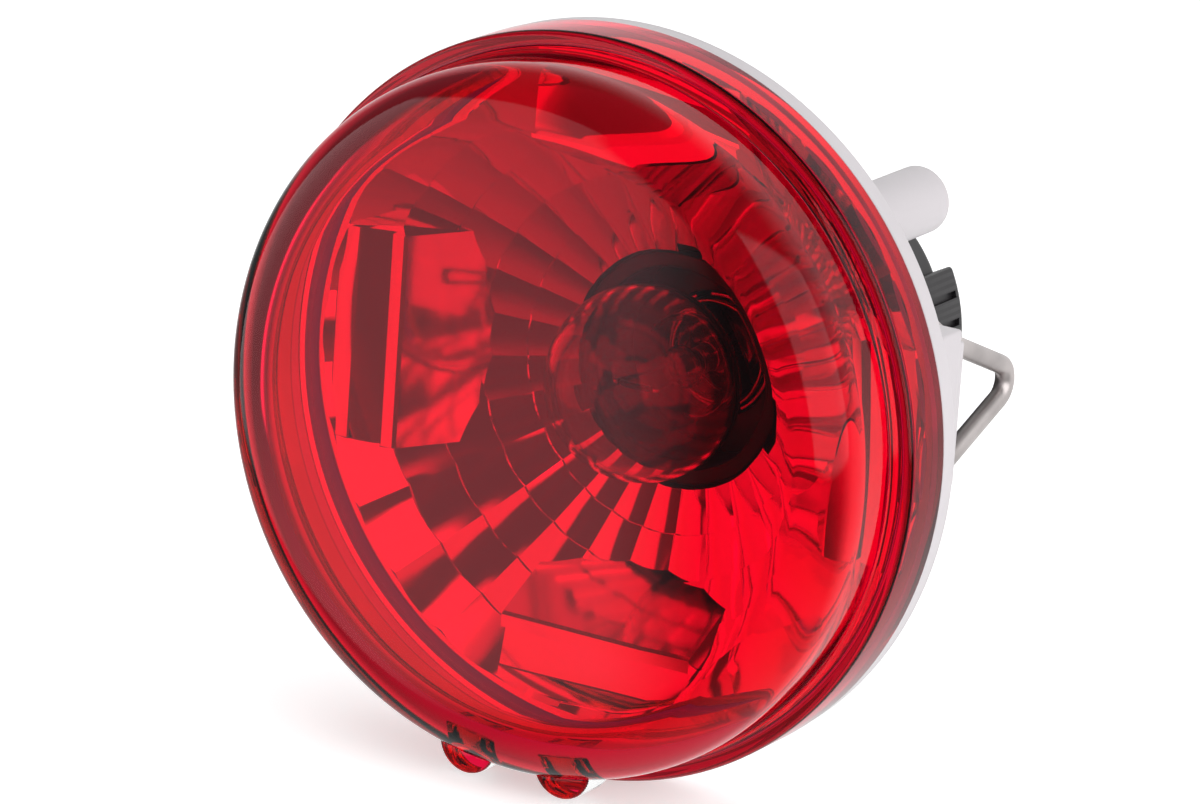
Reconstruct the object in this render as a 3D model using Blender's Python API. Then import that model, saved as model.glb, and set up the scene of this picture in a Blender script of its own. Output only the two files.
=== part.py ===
"""Round rear lamp module: a red cup lens on a pale housing with a bayonet bulb and a clipped holder.

Metres. The lamp faces -Y and its top is +Z. The origin is on the lamp's axis, in the plane of the
flange's rear face. Every piece is drawn in the lamp's own frame and hung on one empty: there z runs
forward along the axis, towards the lens, and y runs up.
"""

import math

import bmesh
import bpy
from mathutils import Euler, Matrix, Quaternion, Vector

MM = 0.001
TURN = 2 * math.pi

# Clearances
SEAT_GAP = 0.3 * MM  # between pieces that rest on or in each other
SNUG_GAP = 0.1 * MM  # between pieces that are pressed or riveted together
WELD = 0.001 * MM
OVERCUT = 1.0 * MM  # a cutter's length past the face that it goes through

# Rim and lens
SKIRT_RADIUS = 49.3 * MM
RIM_RADIUS = SKIRT_RADIUS - 0.2 * MM
RIM_THICK = 3.1 * MM
RIM_CHAMFER = 0.5 * MM
SKIRT_FRONT = 11.6 * MM
SKIRT_WALL = 2.3 * MM
SKIRT_EDGE = 0.6 * MM
CUP_RADIUS = SKIRT_RADIUS - 2.6 * MM
CUP_WALL = 2.4 * MM
CUP_FRONT = 26.1 * MM
CUP_SHOULDER = 7.1 * MM
CUP_NECK = 1.2 * MM
FACE_WALL = 2.6 * MM
FACE_CROWN = 0.9 * MM
LUG_RADIUS = 4.2 * MM
LUG_PROUD = 2.4 * MM
LUG_SPREAD = 9.2  # degrees each side of six o'clock
LUG_BACK = 15.5 * MM
LUG_LENGTH = 6.0 * MM

# Seal between the lens and the housing
SEAL_WIDTH = 1.0 * MM
SEAL_DEPTH = 0.9 * MM

# Reflector: a parabola with its vertex behind the bulb's throat
INNER_RIB = 0.8 * MM  # the housing's ring between the seal and the reflector
REFLECTOR_RIM = SKIRT_RADIUS - SKIRT_WALL - INNER_RIB - SEAT_GAP
REFLECTOR_EDGE = REFLECTOR_RIM - 1.5 * MM
REFLECTOR_EDGE_HEIGHT = RIM_THICK - 1.145 * MM
VERTEX = -17.0 * MM
FOCAL = REFLECTOR_EDGE**2 / (4 * (REFLECTOR_EDGE_HEIGHT - VERTEX))
THROAT_RADIUS = 16.2 * MM
REFLECTOR_WALL = 1.8 * MM
REFLECTOR_SECTORS = 40
PAD_OUTER = REFLECTOR_EDGE - 0.8 * MM
PAD_INNER = PAD_OUTER - 7.2 * MM
PAD_WIDTH = 29.0 * MM
PAD_FRONT = 2.0 * MM

# Housing
BOWL_GAP = 3.2 * MM  # along the axis, from the reflector's bright side to the bowl
BOWL_WALL = 2.2 * MM
BOWL_EDGE = REFLECTOR_RIM - SNUG_GAP
COLLAR_BORE = 20.8 * MM
COLLAR_REAR = -17.5 * MM
POST_CIRCLE = 35.0 * MM
POST_ROOT = -5.0 * MM  # inside the bowl's wall, before the bowl is hollowed
POST_RADIUS = 4.5 * MM
POST_END = -30.0 * MM
POST_ANGLES = (45, 165, 285)
INSERT_RADIUS = 3.2 * MM
INSERT_BORE = 2.5 * MM
INSERT_LENGTH = 9.5 * MM
INSERT_SUNK = 0.2 * MM

# Bulb holder
HOLDER_SEAL_INNER = COLLAR_BORE + 1.2 * MM
HOLDER_SEAL_OUTER = HOLDER_SEAL_INNER + 1.6 * MM
HOLDER_SEAL_DEPTH = 1.1 * MM
HOLDER_FLANGE = HOLDER_SEAL_OUTER + 1.4 * MM
HOLDER_FLANGE_THICK = 3.0 * MM
COLLAR_RADIUS = HOLDER_FLANGE + 2.0 * MM
HOLDER_RADIUS = 18.3 * MM
HOLDER_REAR = -52.0 * MM
HOLDER_NOSE = 15.8 * MM
HOLDER_NOSE_FRONT = -14.9 * MM
HOLDER_CUP = 13.6 * MM
HOLDER_CUP_FLOOR = -25.0 * MM
HOLDER_LUG = 21.4 * MM
HOLDER_LUG_FRONT = -30.0 * MM
HOLDER_EDGE = 1.0 * MM
HOLDER_LUG_FROM = -33  # degrees from three o'clock
HOLDER_LUG_TO = 28
WEB_FRONT = -51.2 * MM
WEB_THICK = 2.3 * MM
SHROUD_LENGTH = 8.0 * MM
SHROUD_CENTRE = 1.3 * MM
SHROUD_WIDTH = 22.8 * MM
SHROUD_HEIGHT = 12.0 * MM
SHROUD_WALL = 1.5 * MM

# Bulb: a 25 mm class globe on a 15 mm bayonet cap
GLOBE_RADIUS = 13.1 * MM
GLOBE_CENTRE = -5.8 * MM
GLASS_WALL = 0.7 * MM
GLASS_END = -28.5 * MM
FILAMENT_HEIGHT = -4.0 * MM
FILAMENT_HALF = 2.6 * MM
FILAMENT_RADIUS = 0.45 * MM
LEAD_RADIUS = 0.3 * MM
LEAD_PAST = 0.6 * MM  # the lead's end in front of the filament
BEAD_RADIUS = 3.0 * MM
BEAD_THICK = 1.6 * MM
BEAD_FRONT = -14.5 * MM
STEM_WAIST = 1.4 * MM  # behind the bead
STEM_FLARE = 4.0 * MM  # the flare's length in front of the glass's end
CAP_RADIUS = 7.5 * MM
CAP_WALL = 0.3 * MM
NECK_RADIUS = CAP_RADIUS - CAP_WALL - SEAT_GAP
CAP_FRONT = -24.6 * MM
CAP_REAR = -41.0 * MM
PIN_RADIUS = 1.0 * MM
PIN_REACH = CAP_RADIUS + 1.0 * MM
PIN_HEIGHT = -35.0 * MM
PLUG_DEPTH = 2.0 * MM  # of black glass inside the cap
CONTACT_RADIUS = 2.2 * MM
CONTACT_THICK = 0.5 * MM
CONTACT_END = -43.4 * MM

# Socket
SLEEVE_INNER = CAP_RADIUS + SEAT_GAP
SLEEVE_WALL = 0.6 * MM
SLEEVE_REAR = -44.7 * MM
SLOT_SIDE = 0.3 * MM
PUSH_TRAVEL = 1.5 * MM
UNLOCK_TURN = 20  # degrees
PLUNGER_HEAD = 2.4 * MM
PLUNGER_HEAD_THICK = 0.9 * MM
PLUNGER_STEM = 1.2 * MM
PLUNGER_LENGTH = 5.8 * MM
SPRING_BORE = SLEEVE_INNER - 0.2 * MM
DISC_RADIUS = SPRING_BORE - SEAT_GAP
DISC_THICK = 1.2 * MM
SPRING_RADIUS = 3.6 * MM
SPRING_WIRE = 0.35 * MM
SPRING_TURNS = 3
BLADE_THICK = 0.8 * MM
BLADE_HALF = 3.15 * MM
BLADE_END = -59.2 * MM
LIVE_PLACE = -6.0 * MM
FOOT_THICK = 0.6 * MM
EARTH_HALF = 2.5 * MM
EARTH_FRONT = -37.0 * MM

# Wire clip
WIRE_RADIUS = 1.3 * MM
CLIP_PIVOT = -22.0 * MM
CLIP_ARM = 21.8 * MM
CLIP_ARM_END = 14.0 * MM
CLIP_NOSE = 34.0 * MM
CLIP_NOSE_HALF = 9.2 * MM
CLIP_NOSE_RISE = 22.0 * MM
CLIP_EAR_INNER = 24.0 * MM
CLIP_EAR_THICK = 4.4 * MM
CLIP_EAR_WIDTH = 7.0 * MM
CLIP_EAR_COVER = 1.8 * MM
CLIP_EAR_ROOT = 9.0 * MM  # in front of the collar's rear, inside the bowl's wall
CLIP_STOP_WIDTH = 2.0 * MM
CLIP_BEND = 1.6 * MM
CLIP_NOSE_BEND = 2.6 * MM
CLIP_ARM_BEND = 4.0 * MM

ROUND_STEPS = 48
SMALL_STEPS = 24
TINY_STEPS = 12


def material(name, colour, roughness, metallic=0.0, transmission=0.0):
    made = bpy.data.materials.new(name)
    made.use_nodes = True
    shader = made.node_tree.nodes["Principled BSDF"]
    shader.inputs["Base Color"].default_value = (*colour, 1.0)
    shader.inputs["Roughness"].default_value = roughness
    shader.inputs["Metallic"].default_value = metallic
    shader.inputs["Transmission Weight"].default_value = transmission
    made.diffuse_color = (*colour, 1.0)
    return made


def finish_mesh(name, shape, coat, root):
    """Turns a bmesh into a named object under the lamp's empty, with sharp edges over 35 degrees."""
    bmesh.ops.recalc_face_normals(shape, faces=shape.faces)
    mesh = bpy.data.meshes.new(name)
    shape.to_mesh(mesh)
    shape.free()
    mesh.shade_smooth()
    mesh.set_sharp_from_angle(angle=math.radians(35))
    piece = bpy.data.objects.new(name, mesh)
    bpy.context.scene.collection.objects.link(piece)
    piece.parent = root
    if coat is None:
        piece.hide_render = True
        piece.display_type = "WIRE"
    else:
        mesh.materials.append(coat)
    return piece


def arc(centre, radius, start, end, steps):
    """Points on an arc in the (radius, height) plane, from start to end in degrees."""
    angles = [math.radians(start + (end - start) * i / steps) for i in range(steps + 1)]
    return [(centre[0] + radius * math.cos(a), centre[1] + radius * math.sin(a)) for a in angles]


def turned(name, outline, coat, root, steps=ROUND_STEPS):
    """A solid of revolution about the lamp's axis from a closed (radius, height) outline."""
    shape = bmesh.new()
    points = [shape.verts.new((r, 0.0, z)) for r, z in outline]
    edges = []
    for first, second in zip(points, points[1:] + points[:1]):
        if first.co.x > WELD or second.co.x > WELD:
            edges.append(shape.edges.new((first, second)))
    spun = points + edges
    bmesh.ops.spin(shape, geom=spun, axis=(0, 0, 1), cent=(0, 0, 0), angle=TURN, steps=steps)
    bmesh.ops.remove_doubles(shape, verts=shape.verts, dist=WELD)
    return finish_mesh(name, shape, coat, root)


def prism(name, outline, low, high, coat, root):
    """A straight solid along the axis from low to high over a closed (x, y) outline."""
    shape = bmesh.new()
    base = shape.faces.new([shape.verts.new((x, y, low)) for x, y in outline])
    grown = bmesh.ops.extrude_face_region(shape, geom=[base])
    raised = [v for v in grown["geom"] if isinstance(v, bmesh.types.BMVert)]
    bmesh.ops.translate(shape, verts=raised, vec=(0, 0, high - low))
    return finish_mesh(name, shape, coat, root)


def block(name, low, high, coat, root):
    """A box between two corners."""
    outline = [(low[0], low[1]), (high[0], low[1]), (high[0], high[1]), (low[0], high[1])]
    return prism(name, outline, low[2], high[2], coat, root)


def rod(name, radius, start, end, coat, root, steps=SMALL_STEPS):
    """A round bar between two points."""
    start, end = Vector(start), Vector(end)
    along = end - start
    shape = bmesh.new()
    place = Matrix.Translation((start + end) / 2) @ along.to_track_quat("Z", "Y").to_matrix().to_4x4()
    bmesh.ops.create_cone(
        shape, cap_ends=True, segments=steps, radius1=radius, radius2=radius, depth=along.length, matrix=place
    )
    return finish_mesh(name, shape, coat, root)


def sector(name, inner, outer, start, end, low, high, coat, root, steps=6):
    """A length of ring between two angles in degrees."""
    outline = arc((0, 0), outer, start, end, steps) + arc((0, 0), inner, end, start, steps)
    return prism(name, outline, low, high, coat, root)


def combine(piece, others, operation):
    for other in others:
        change = piece.modifiers.new(f"{operation} {other.name}", "BOOLEAN")
        change.object = other
        change.operation = operation
        change.solver = "EXACT"


def turn(piece, degrees):
    """Turns a piece about the lamp's axis."""
    piece.rotation_euler = Euler((0, 0, math.radians(degrees)))
    return piece


def reflector_height(radius):
    """Height of the reflector's bright side at a radius."""
    return VERTEX + radius**2 / (4 * FOCAL)


def bowl_line(inner, outer, drop, steps):
    """The reflector's curve between two radii, moved back by drop."""
    radii = [inner + (outer - inner) * i / steps for i in range(steps + 1)]
    return [(r, reflector_height(r) - drop) for r in radii]


def crown_line(radius, height, start, end, steps):
    """The gently domed face, from one radius to another."""
    radii = [start + (end - start) * i / steps for i in range(steps + 1)]
    return [(r, height + FACE_CROWN * (1 - (r / radius) ** 2)) for r in radii]


def make_lens(root, coat):
    flat = CUP_RADIUS - CUP_SHOULDER
    inner_wall = CUP_RADIUS - CUP_WALL
    inner_corner = CUP_SHOULDER - FACE_WALL
    inner_flat = inner_wall - inner_corner
    skirt_low = RIM_THICK + SEAT_GAP
    skirt_inner = SKIRT_RADIUS - SKIRT_WALL
    step_height = SKIRT_FRONT - SKIRT_WALL
    outer = crown_line(flat, CUP_FRONT, 0, flat, 5)
    outer += arc((flat, CUP_FRONT - CUP_SHOULDER), CUP_SHOULDER, 90, 0, 8)[1:]
    outer += arc((CUP_RADIUS + CUP_NECK, SKIRT_FRONT + CUP_NECK), CUP_NECK, 180, 270, 3)
    outer += arc((SKIRT_RADIUS - SKIRT_EDGE, SKIRT_FRONT - SKIRT_EDGE), SKIRT_EDGE, 90, 0, 2)
    outer += [(SKIRT_RADIUS, skirt_low)]
    inner = [(skirt_inner, skirt_low), (skirt_inner, step_height), (inner_wall, step_height + CUP_WALL / 2)]
    inner += arc((inner_flat, CUP_FRONT - FACE_WALL - inner_corner), inner_corner, 0, 90, 5)
    inner += crown_line(inner_flat, CUP_FRONT - FACE_WALL, inner_flat, 0, 4)[1:]
    lens = turned("lens", outer + inner, coat, root)
    lugs = []
    centre = CUP_RADIUS + LUG_PROUD - LUG_RADIUS
    root_line = CUP_RADIUS - CUP_WALL / 2
    lean = math.degrees(math.asin((root_line - centre) / LUG_RADIUS))
    outline = arc((0, 0), LUG_RADIUS, lean, 180 - lean, 12)
    outline = [(x, y + centre) for x, y in outline]
    for side in (-1, 1):
        lug = prism("lens_lug_shape", outline, LUG_BACK, LUG_BACK + LUG_LENGTH, None, root)
        lugs.append(turn(lug, 180 + side * LUG_SPREAD))
    combine(lens, lugs, "UNION")


def make_lens_seal(root, coat):
    middle = SKIRT_RADIUS - SKIRT_WALL / 2
    low, high = RIM_THICK - SEAL_DEPTH, RIM_THICK
    left, right = middle - SEAL_WIDTH / 2, middle + SEAL_WIDTH / 2
    turned("lens_seal", [(right, low), (right, high), (left, high), (left, low)], coat, root)


def reflector_outline():
    front = bowl_line(THROAT_RADIUS, REFLECTOR_EDGE, 0, 7)
    rear = bowl_line(REFLECTOR_EDGE, THROAT_RADIUS, REFLECTOR_WALL, 4)
    rim_low = RIM_THICK - REFLECTOR_WALL - SEAT_GAP
    rim = [(REFLECTOR_RIM, front[-1][1]), (REFLECTOR_RIM, rim_low)]
    return front + rim + rear


def make_reflector(root, coat):
    reflector = turned("reflector", reflector_outline(), coat, root, REFLECTOR_SECTORS)
    back = reflector_height(PAD_INNER) - REFLECTOR_WALL / 2
    outline = [
        (PAD_INNER, -PAD_WIDTH / 2),
        (math.sqrt(PAD_OUTER**2 - PAD_WIDTH**2 / 4), -PAD_WIDTH / 2),
        (PAD_OUTER, -PAD_WIDTH / 6),
        (PAD_OUTER, PAD_WIDTH / 6),
        (math.sqrt(PAD_OUTER**2 - PAD_WIDTH**2 / 4), PAD_WIDTH / 2),
        (PAD_INNER, PAD_WIDTH / 2),
    ]
    space = bowl_line(REFLECTOR_EDGE, 0.0, REFLECTOR_WALL / 2, 10) + [(0.0, RIM_THICK), (REFLECTOR_EDGE, RIM_THICK)]
    in_front = turned("reflector_pad_space", space, None, root, REFLECTOR_SECTORS)
    pads = []
    for quarter in range(4):
        pad = prism("reflector_pad_shape", outline, back, PAD_FRONT, None, root)
        combine(pad, [in_front], "INTERSECT")
        pads.append(turn(pad, 90 * quarter))
    combine(reflector, pads, "UNION")


def housing_outer():
    outer = [(0.0, RIM_THICK), (RIM_RADIUS, RIM_THICK), (RIM_RADIUS, RIM_CHAMFER)]
    outer += [(RIM_RADIUS - RIM_CHAMFER, 0.0), (BOWL_EDGE, 0.0)]
    outer += bowl_line(BOWL_EDGE - BOWL_WALL / 2, COLLAR_RADIUS, BOWL_GAP + BOWL_WALL, 5)
    outer += [(COLLAR_RADIUS, COLLAR_REAR), (0.0, COLLAR_REAR)]
    return outer


def housing_hollow():
    """What is cut from the middle: the bowl, the reflector's seat and the collar's bore."""
    over = RIM_THICK + OVERCUT
    seat = RIM_THICK - REFLECTOR_WALL - 2 * SEAT_GAP - FOOT_THICK
    rib = SKIRT_RADIUS - SKIRT_WALL - INNER_RIB
    bowl = bowl_line(BOWL_EDGE - BOWL_WALL / 2, COLLAR_RADIUS - BOWL_WALL, BOWL_GAP, 5)
    hollow = [(0.0, over), (rib, over), (rib, seat), (BOWL_EDGE - BOWL_WALL / 2, seat)]
    hollow += bowl
    ledge = min(bowl[-1][1], reflector_height(COLLAR_BORE) - REFLECTOR_WALL) - SEAT_GAP
    hollow += [(COLLAR_BORE, ledge), (COLLAR_BORE, COLLAR_REAR - OVERCUT)]
    hollow += [(0.0, COLLAR_REAR - OVERCUT)]
    return hollow


def clip_height():
    """Height of the clip's wire where it lies on the holder's flange."""
    return COLLAR_REAR - 2 * SEAT_GAP - HOLDER_FLANGE_THICK - WIRE_RADIUS


def make_housing(root, coat):
    housing = turned("housing", housing_outer(), coat, root)
    ear_end = clip_height() - WIRE_RADIUS - CLIP_EAR_COVER
    ear_outer = CLIP_EAR_INNER + CLIP_EAR_THICK
    deep = COLLAR_REAR + CLIP_EAR_ROOT
    added, cut = [], []
    for angle in POST_ANGLES:
        place = Vector((POST_CIRCLE, 0, 0))
        place.rotate(Euler((0, 0, math.radians(angle))))
        flat = (place.x, place.y)
        added.append(rod("post_shape", POST_RADIUS, (*flat, POST_ROOT), (*flat, POST_END), None, root))
        sunk = POST_END + INSERT_SUNK + INSERT_LENGTH + SEAT_GAP
        bore = INSERT_RADIUS + SEAT_GAP
        cut.append(rod("post_bore", bore, (*flat, sunk), (*flat, POST_END - OVERCUT), None, root))
    for side in (-1, 1):
        span = sorted((side * CLIP_EAR_INNER, side * ear_outer))
        low = (CLIP_PIVOT - CLIP_EAR_WIDTH / 2, span[0], ear_end)
        high = (CLIP_PIVOT + CLIP_EAR_WIDTH / 2, span[1], deep)
        added.append(block("clip_ear_shape", low, high, None, root))
        inside = (CLIP_PIVOT, side * (CLIP_EAR_INNER - OVERCUT), clip_height())
        outside = (CLIP_PIVOT, side * (ear_outer - SEAT_GAP), clip_height())
        cut.append(rod("clip_ear_bore", WIRE_RADIUS + SEAT_GAP, inside, outside, None, root))
    rest = clip_height() + WIRE_RADIUS + SEAT_GAP
    edge = CLIP_NOSE + WIRE_RADIUS + SEAT_GAP
    reach = CLIP_NOSE_HALF + 2 * WIRE_RADIUS
    low = (CLIP_NOSE - 2 * WIRE_RADIUS, -reach, rest)
    high = (edge + CLIP_STOP_WIDTH, reach, deep)
    added.append(block("clip_rest_shape", low, high, None, root))
    low = (edge, -reach + CLIP_STOP_WIDTH, clip_height())
    high = (edge + 0.8 * CLIP_STOP_WIDTH, reach - CLIP_STOP_WIDTH, rest + WIRE_RADIUS)
    added.append(block("clip_stop_shape", low, high, None, root))
    combine(housing, added, "UNION")
    cut.append(turned("housing_hollow", housing_hollow(), None, root))
    middle = SKIRT_RADIUS - SKIRT_WALL / 2
    left, right = middle - SEAL_WIDTH / 2 - SEAT_GAP, middle + SEAL_WIDTH / 2 + SEAT_GAP
    low, high = RIM_THICK - SEAL_DEPTH - SEAT_GAP, RIM_THICK + OVERCUT
    groove = [(right, low), (right, high), (left, high), (left, low)]
    cut.append(turned("seal_groove", groove, None, root))
    combine(housing, cut, "DIFFERENCE")


def make_inserts(root, coat):
    low = POST_END + INSERT_SUNK
    high = low + INSERT_LENGTH
    for number, angle in enumerate(POST_ANGLES, 1):
        outline = [(INSERT_RADIUS, low), (INSERT_RADIUS, high), (INSERT_BORE, high), (INSERT_BORE, low)]
        insert = turned(f"post_insert_{number}", outline, coat, root, SMALL_STEPS)
        insert.location = Vector((POST_CIRCLE, 0, 0))
        insert.location.rotate(Euler((0, 0, math.radians(angle))))


def holder_outline():
    flange_front = COLLAR_REAR - SEAT_GAP
    flange_rear = flange_front - HOLDER_FLANGE_THICK
    spigot = COLLAR_BORE - SEAT_GAP
    groove_outer = HOLDER_SEAL_OUTER + SEAT_GAP
    groove_inner = HOLDER_SEAL_INNER - SEAT_GAP
    groove_floor = flange_front - HOLDER_SEAL_DEPTH - SEAT_GAP
    nose_step = reflector_height(HOLDER_NOSE) - REFLECTOR_WALL - 2 * SEAT_GAP
    sleeve_bore = SLEEVE_INNER + SLEEVE_WALL + SEAT_GAP
    sleeve_floor = SLEEVE_REAR - SEAT_GAP
    outer = [(HOLDER_CUP, HOLDER_NOSE_FRONT), (HOLDER_NOSE, HOLDER_NOSE_FRONT), (HOLDER_NOSE, nose_step)]
    outer += [(spigot, nose_step), (spigot, flange_front), (groove_inner, flange_front)]
    outer += [(groove_inner, groove_floor), (groove_outer, groove_floor), (groove_outer, flange_front)]
    outer += [(HOLDER_FLANGE, flange_front), (HOLDER_FLANGE, flange_rear), (HOLDER_RADIUS, flange_rear)]
    outer += [(HOLDER_RADIUS, HOLDER_REAR + HOLDER_EDGE), (HOLDER_RADIUS - HOLDER_EDGE, HOLDER_REAR)]
    web_rear = WEB_FRONT - WEB_THICK
    outer += [(SPRING_BORE, HOLDER_REAR), (SPRING_BORE, web_rear), (0.0, web_rear)]
    inner = [(0.0, WEB_FRONT), (SPRING_BORE, WEB_FRONT), (SPRING_BORE, sleeve_floor)]
    inner += [(sleeve_bore, sleeve_floor), (sleeve_bore, HOLDER_CUP_FLOOR), (HOLDER_CUP, HOLDER_CUP_FLOOR)]
    return outer + inner


def earth_span():
    """The earth strip's place beside the sleeve, as its lowest and highest x."""
    low = SLEEVE_INNER + SLEEVE_WALL + SEAT_GAP
    return low, low + BLADE_THICK


def live_span():
    return LIVE_PLACE - BLADE_THICK / 2, LIVE_PLACE + BLADE_THICK / 2


def make_holder(root, coat):
    holder = turned("holder_body", holder_outline(), coat, root)
    web_rear = WEB_FRONT - WEB_THICK
    shroud_rear = web_rear - SHROUD_LENGTH + SHROUD_WALL
    half = SHROUD_WIDTH / 2
    tall = SHROUD_HEIGHT / 2
    lug = sector(
        "holder_lug_shape", HOLDER_RADIUS - 2 * MM, HOLDER_LUG, HOLDER_LUG_FROM, HOLDER_LUG_TO,
        HOLDER_REAR + 0.4 * MM, HOLDER_LUG_FRONT, None, root,
    )
    low = (SHROUD_CENTRE - half, -tall, shroud_rear)
    high = (SHROUD_CENTRE + half, tall, WEB_FRONT - WEB_THICK / 2)
    shroud = block("shroud_shape", low, high, None, root)
    combine(holder, [lug, shroud], "UNION")
    low = (SHROUD_CENTRE - half + SHROUD_WALL, -tall + SHROUD_WALL, shroud_rear - OVERCUT)
    high = (SHROUD_CENTRE + half - SHROUD_WALL, tall - SHROUD_WALL, web_rear)
    pocket = block("shroud_pocket", low, high, None, root)
    near, far = earth_span()
    low = (near - 3 * SEAT_GAP, -EARTH_HALF - SEAT_GAP, web_rear - OVERCUT)
    high = (far + SEAT_GAP, EARTH_HALF + SEAT_GAP, EARTH_FRONT + SEAT_GAP)
    earth_way = block("earth_way", low, high, None, root)
    near, far = live_span()
    low = (near - SEAT_GAP, -BLADE_HALF - SEAT_GAP, web_rear - OVERCUT)
    high = (far + SEAT_GAP, BLADE_HALF + SEAT_GAP, WEB_FRONT + OVERCUT)
    live_way = block("live_way", low, high, None, root)
    stem = PLUNGER_STEM + 1.5 * SEAT_GAP
    stem_way = rod("stem_way", stem, (0, 0, WEB_FRONT + OVERCUT), (0, 0, web_rear - OVERCUT), None, root)
    combine(holder, [pocket, earth_way, live_way, stem_way], "DIFFERENCE")


def make_holder_seal(root, coat):
    high = COLLAR_REAR - SEAT_GAP
    low = high - HOLDER_SEAL_DEPTH
    outline = [(HOLDER_SEAL_OUTER, low), (HOLDER_SEAL_OUTER, high)]
    outline += [(HOLDER_SEAL_INNER, high), (HOLDER_SEAL_INNER, low)]
    turned("holder_seal", outline, coat, root)


def make_sleeve(root, coat):
    """The bayonet sleeve, with two slots that let the pins in, turn and be pushed."""
    outer = SLEEVE_INNER + SLEEVE_WALL
    front = HOLDER_CUP_FLOOR - SEAT_GAP
    outline = [(outer, SLEEVE_REAR), (outer, front), (SLEEVE_INNER, front), (SLEEVE_INNER, SLEEVE_REAR)]
    sleeve = turned("socket_sleeve", outline, coat, root)
    half = PIN_RADIUS + SLOT_SIDE
    lean = math.degrees(math.asin(half / SLEEVE_INNER))
    slots = []
    for start in (90, 270):
        low = PIN_HEIGHT - PUSH_TRAVEL - half
        high = PIN_HEIGHT + half
        ends = (start - lean, start + UNLOCK_TURN + lean)
        inside, outside = SLEEVE_INNER - OVERCUT, outer + OVERCUT
        slots.append(sector("pin_way", inside, outside, *ends, low, high, None, root))
        ends = (start + UNLOCK_TURN - lean, start + UNLOCK_TURN + lean)
        above = front + OVERCUT
        inside, outside = inside - 0.1 * MM, outside + 0.1 * MM
        middle = PIN_HEIGHT - PUSH_TRAVEL / 2
        slots.append(sector("pin_entry", inside, outside, *ends, middle, above, None, root))
    combine(sleeve, slots, "DIFFERENCE")


def plunger_top():
    return CONTACT_END - SEAT_GAP


def disc_top():
    return plunger_top() - PLUNGER_HEAD_THICK - SEAT_GAP


def foot_top():
    """Where the spring stands on the live terminal."""
    return WEB_FRONT + SEAT_GAP + FOOT_THICK


def make_plunger(root, brass, board):
    top = plunger_top()
    under = top - PLUNGER_HEAD_THICK
    outline = [(0.0, top), (PLUNGER_HEAD, top), (PLUNGER_HEAD, under), (PLUNGER_STEM, under)]
    outline += [(PLUNGER_STEM, top - PLUNGER_LENGTH), (0.0, top - PLUNGER_LENGTH)]
    turned("contact_plunger", outline, brass, root, SMALL_STEPS)
    low, high = disc_top() - DISC_THICK, disc_top()
    hole = PLUNGER_STEM + SEAT_GAP
    outline = [(DISC_RADIUS, low), (DISC_RADIUS, high), (hole, high), (hole, low)]
    turned("insulator_disc", outline, board, root, SMALL_STEPS)


def wire(name, points, radius, coat, root, resolution=2):
    """A round wire along a list of points, with filled ends."""
    curve = bpy.data.curves.new(name, "CURVE")
    curve.dimensions = "3D"
    curve.bevel_depth = radius
    curve.bevel_resolution = resolution
    curve.use_fill_caps = True
    spline = curve.splines.new("POLY")
    spline.points.add(len(points) - 1)
    for slot, point in zip(spline.points, points):
        slot.co = (*point, 1.0)
    curve.materials.append(coat)
    piece = bpy.data.objects.new(name, curve)
    bpy.context.scene.collection.objects.link(piece)
    piece.parent = root
    return piece


def make_spring(root, coat):
    high = disc_top() - DISC_THICK - SEAT_GAP - SPRING_WIRE
    low = foot_top() + SEAT_GAP + SPRING_WIRE
    count = SPRING_TURNS * TINY_STEPS
    middle = SPRING_RADIUS - SPRING_WIRE
    points = []
    for i in range(count + 1):
        angle = TURN * SPRING_TURNS * i / count
        points.append((middle * math.cos(angle), middle * math.sin(angle), low + (high - low) * i / count))
    wire("contact_spring", points, SPRING_WIRE, coat, root, 1)


def make_terminals(root, coat):
    near, far = live_span()
    low = (near, -BLADE_HALF, BLADE_END)
    high = (far, BLADE_HALF, foot_top())
    live = block("terminal_live", low, high, coat, root)
    low = (near + SNUG_GAP, -BLADE_HALF + SNUG_GAP, foot_top() - FOOT_THICK)
    high = (SPRING_RADIUS, BLADE_HALF - SNUG_GAP, foot_top() - SNUG_GAP)
    foot = block("foot_shape", low, high, None, root)
    hole_radius = PLUNGER_STEM + 1.5 * SEAT_GAP
    ends = (0, 0, WEB_FRONT - OVERCUT), (0, 0, foot_top() + OVERCUT)
    hole = rod("foot_hole", hole_radius, *ends, None, root)
    combine(live, [foot], "UNION")
    combine(live, [hole], "DIFFERENCE")
    near, far = earth_span()
    low = (near, -EARTH_HALF, BLADE_END)
    high = (far, EARTH_HALF, EARTH_FRONT)
    block("terminal_earth", low, high, coat, root)


def make_glass(root, coat):
    inner_globe = GLOBE_RADIUS - GLASS_WALL
    inner_neck = NECK_RADIUS - GLASS_WALL
    outer_end = -math.degrees(math.acos(NECK_RADIUS / GLOBE_RADIUS))
    inner_end = -math.degrees(math.acos(inner_neck / inner_globe))
    outline = [(max(r, 0.0), z) for r, z in arc((0, GLOBE_CENTRE), GLOBE_RADIUS, 90, outer_end, 14)]
    outline[0] = (0.0, outline[0][1])
    outline += [(NECK_RADIUS, GLASS_END), (inner_neck, GLASS_END)]
    inside = arc((0, GLOBE_CENTRE), inner_globe, inner_end, 90, 12)
    inside[-1] = (0.0, inside[-1][1])
    turned("bulb_glass", outline + inside, coat, root, 32)


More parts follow.
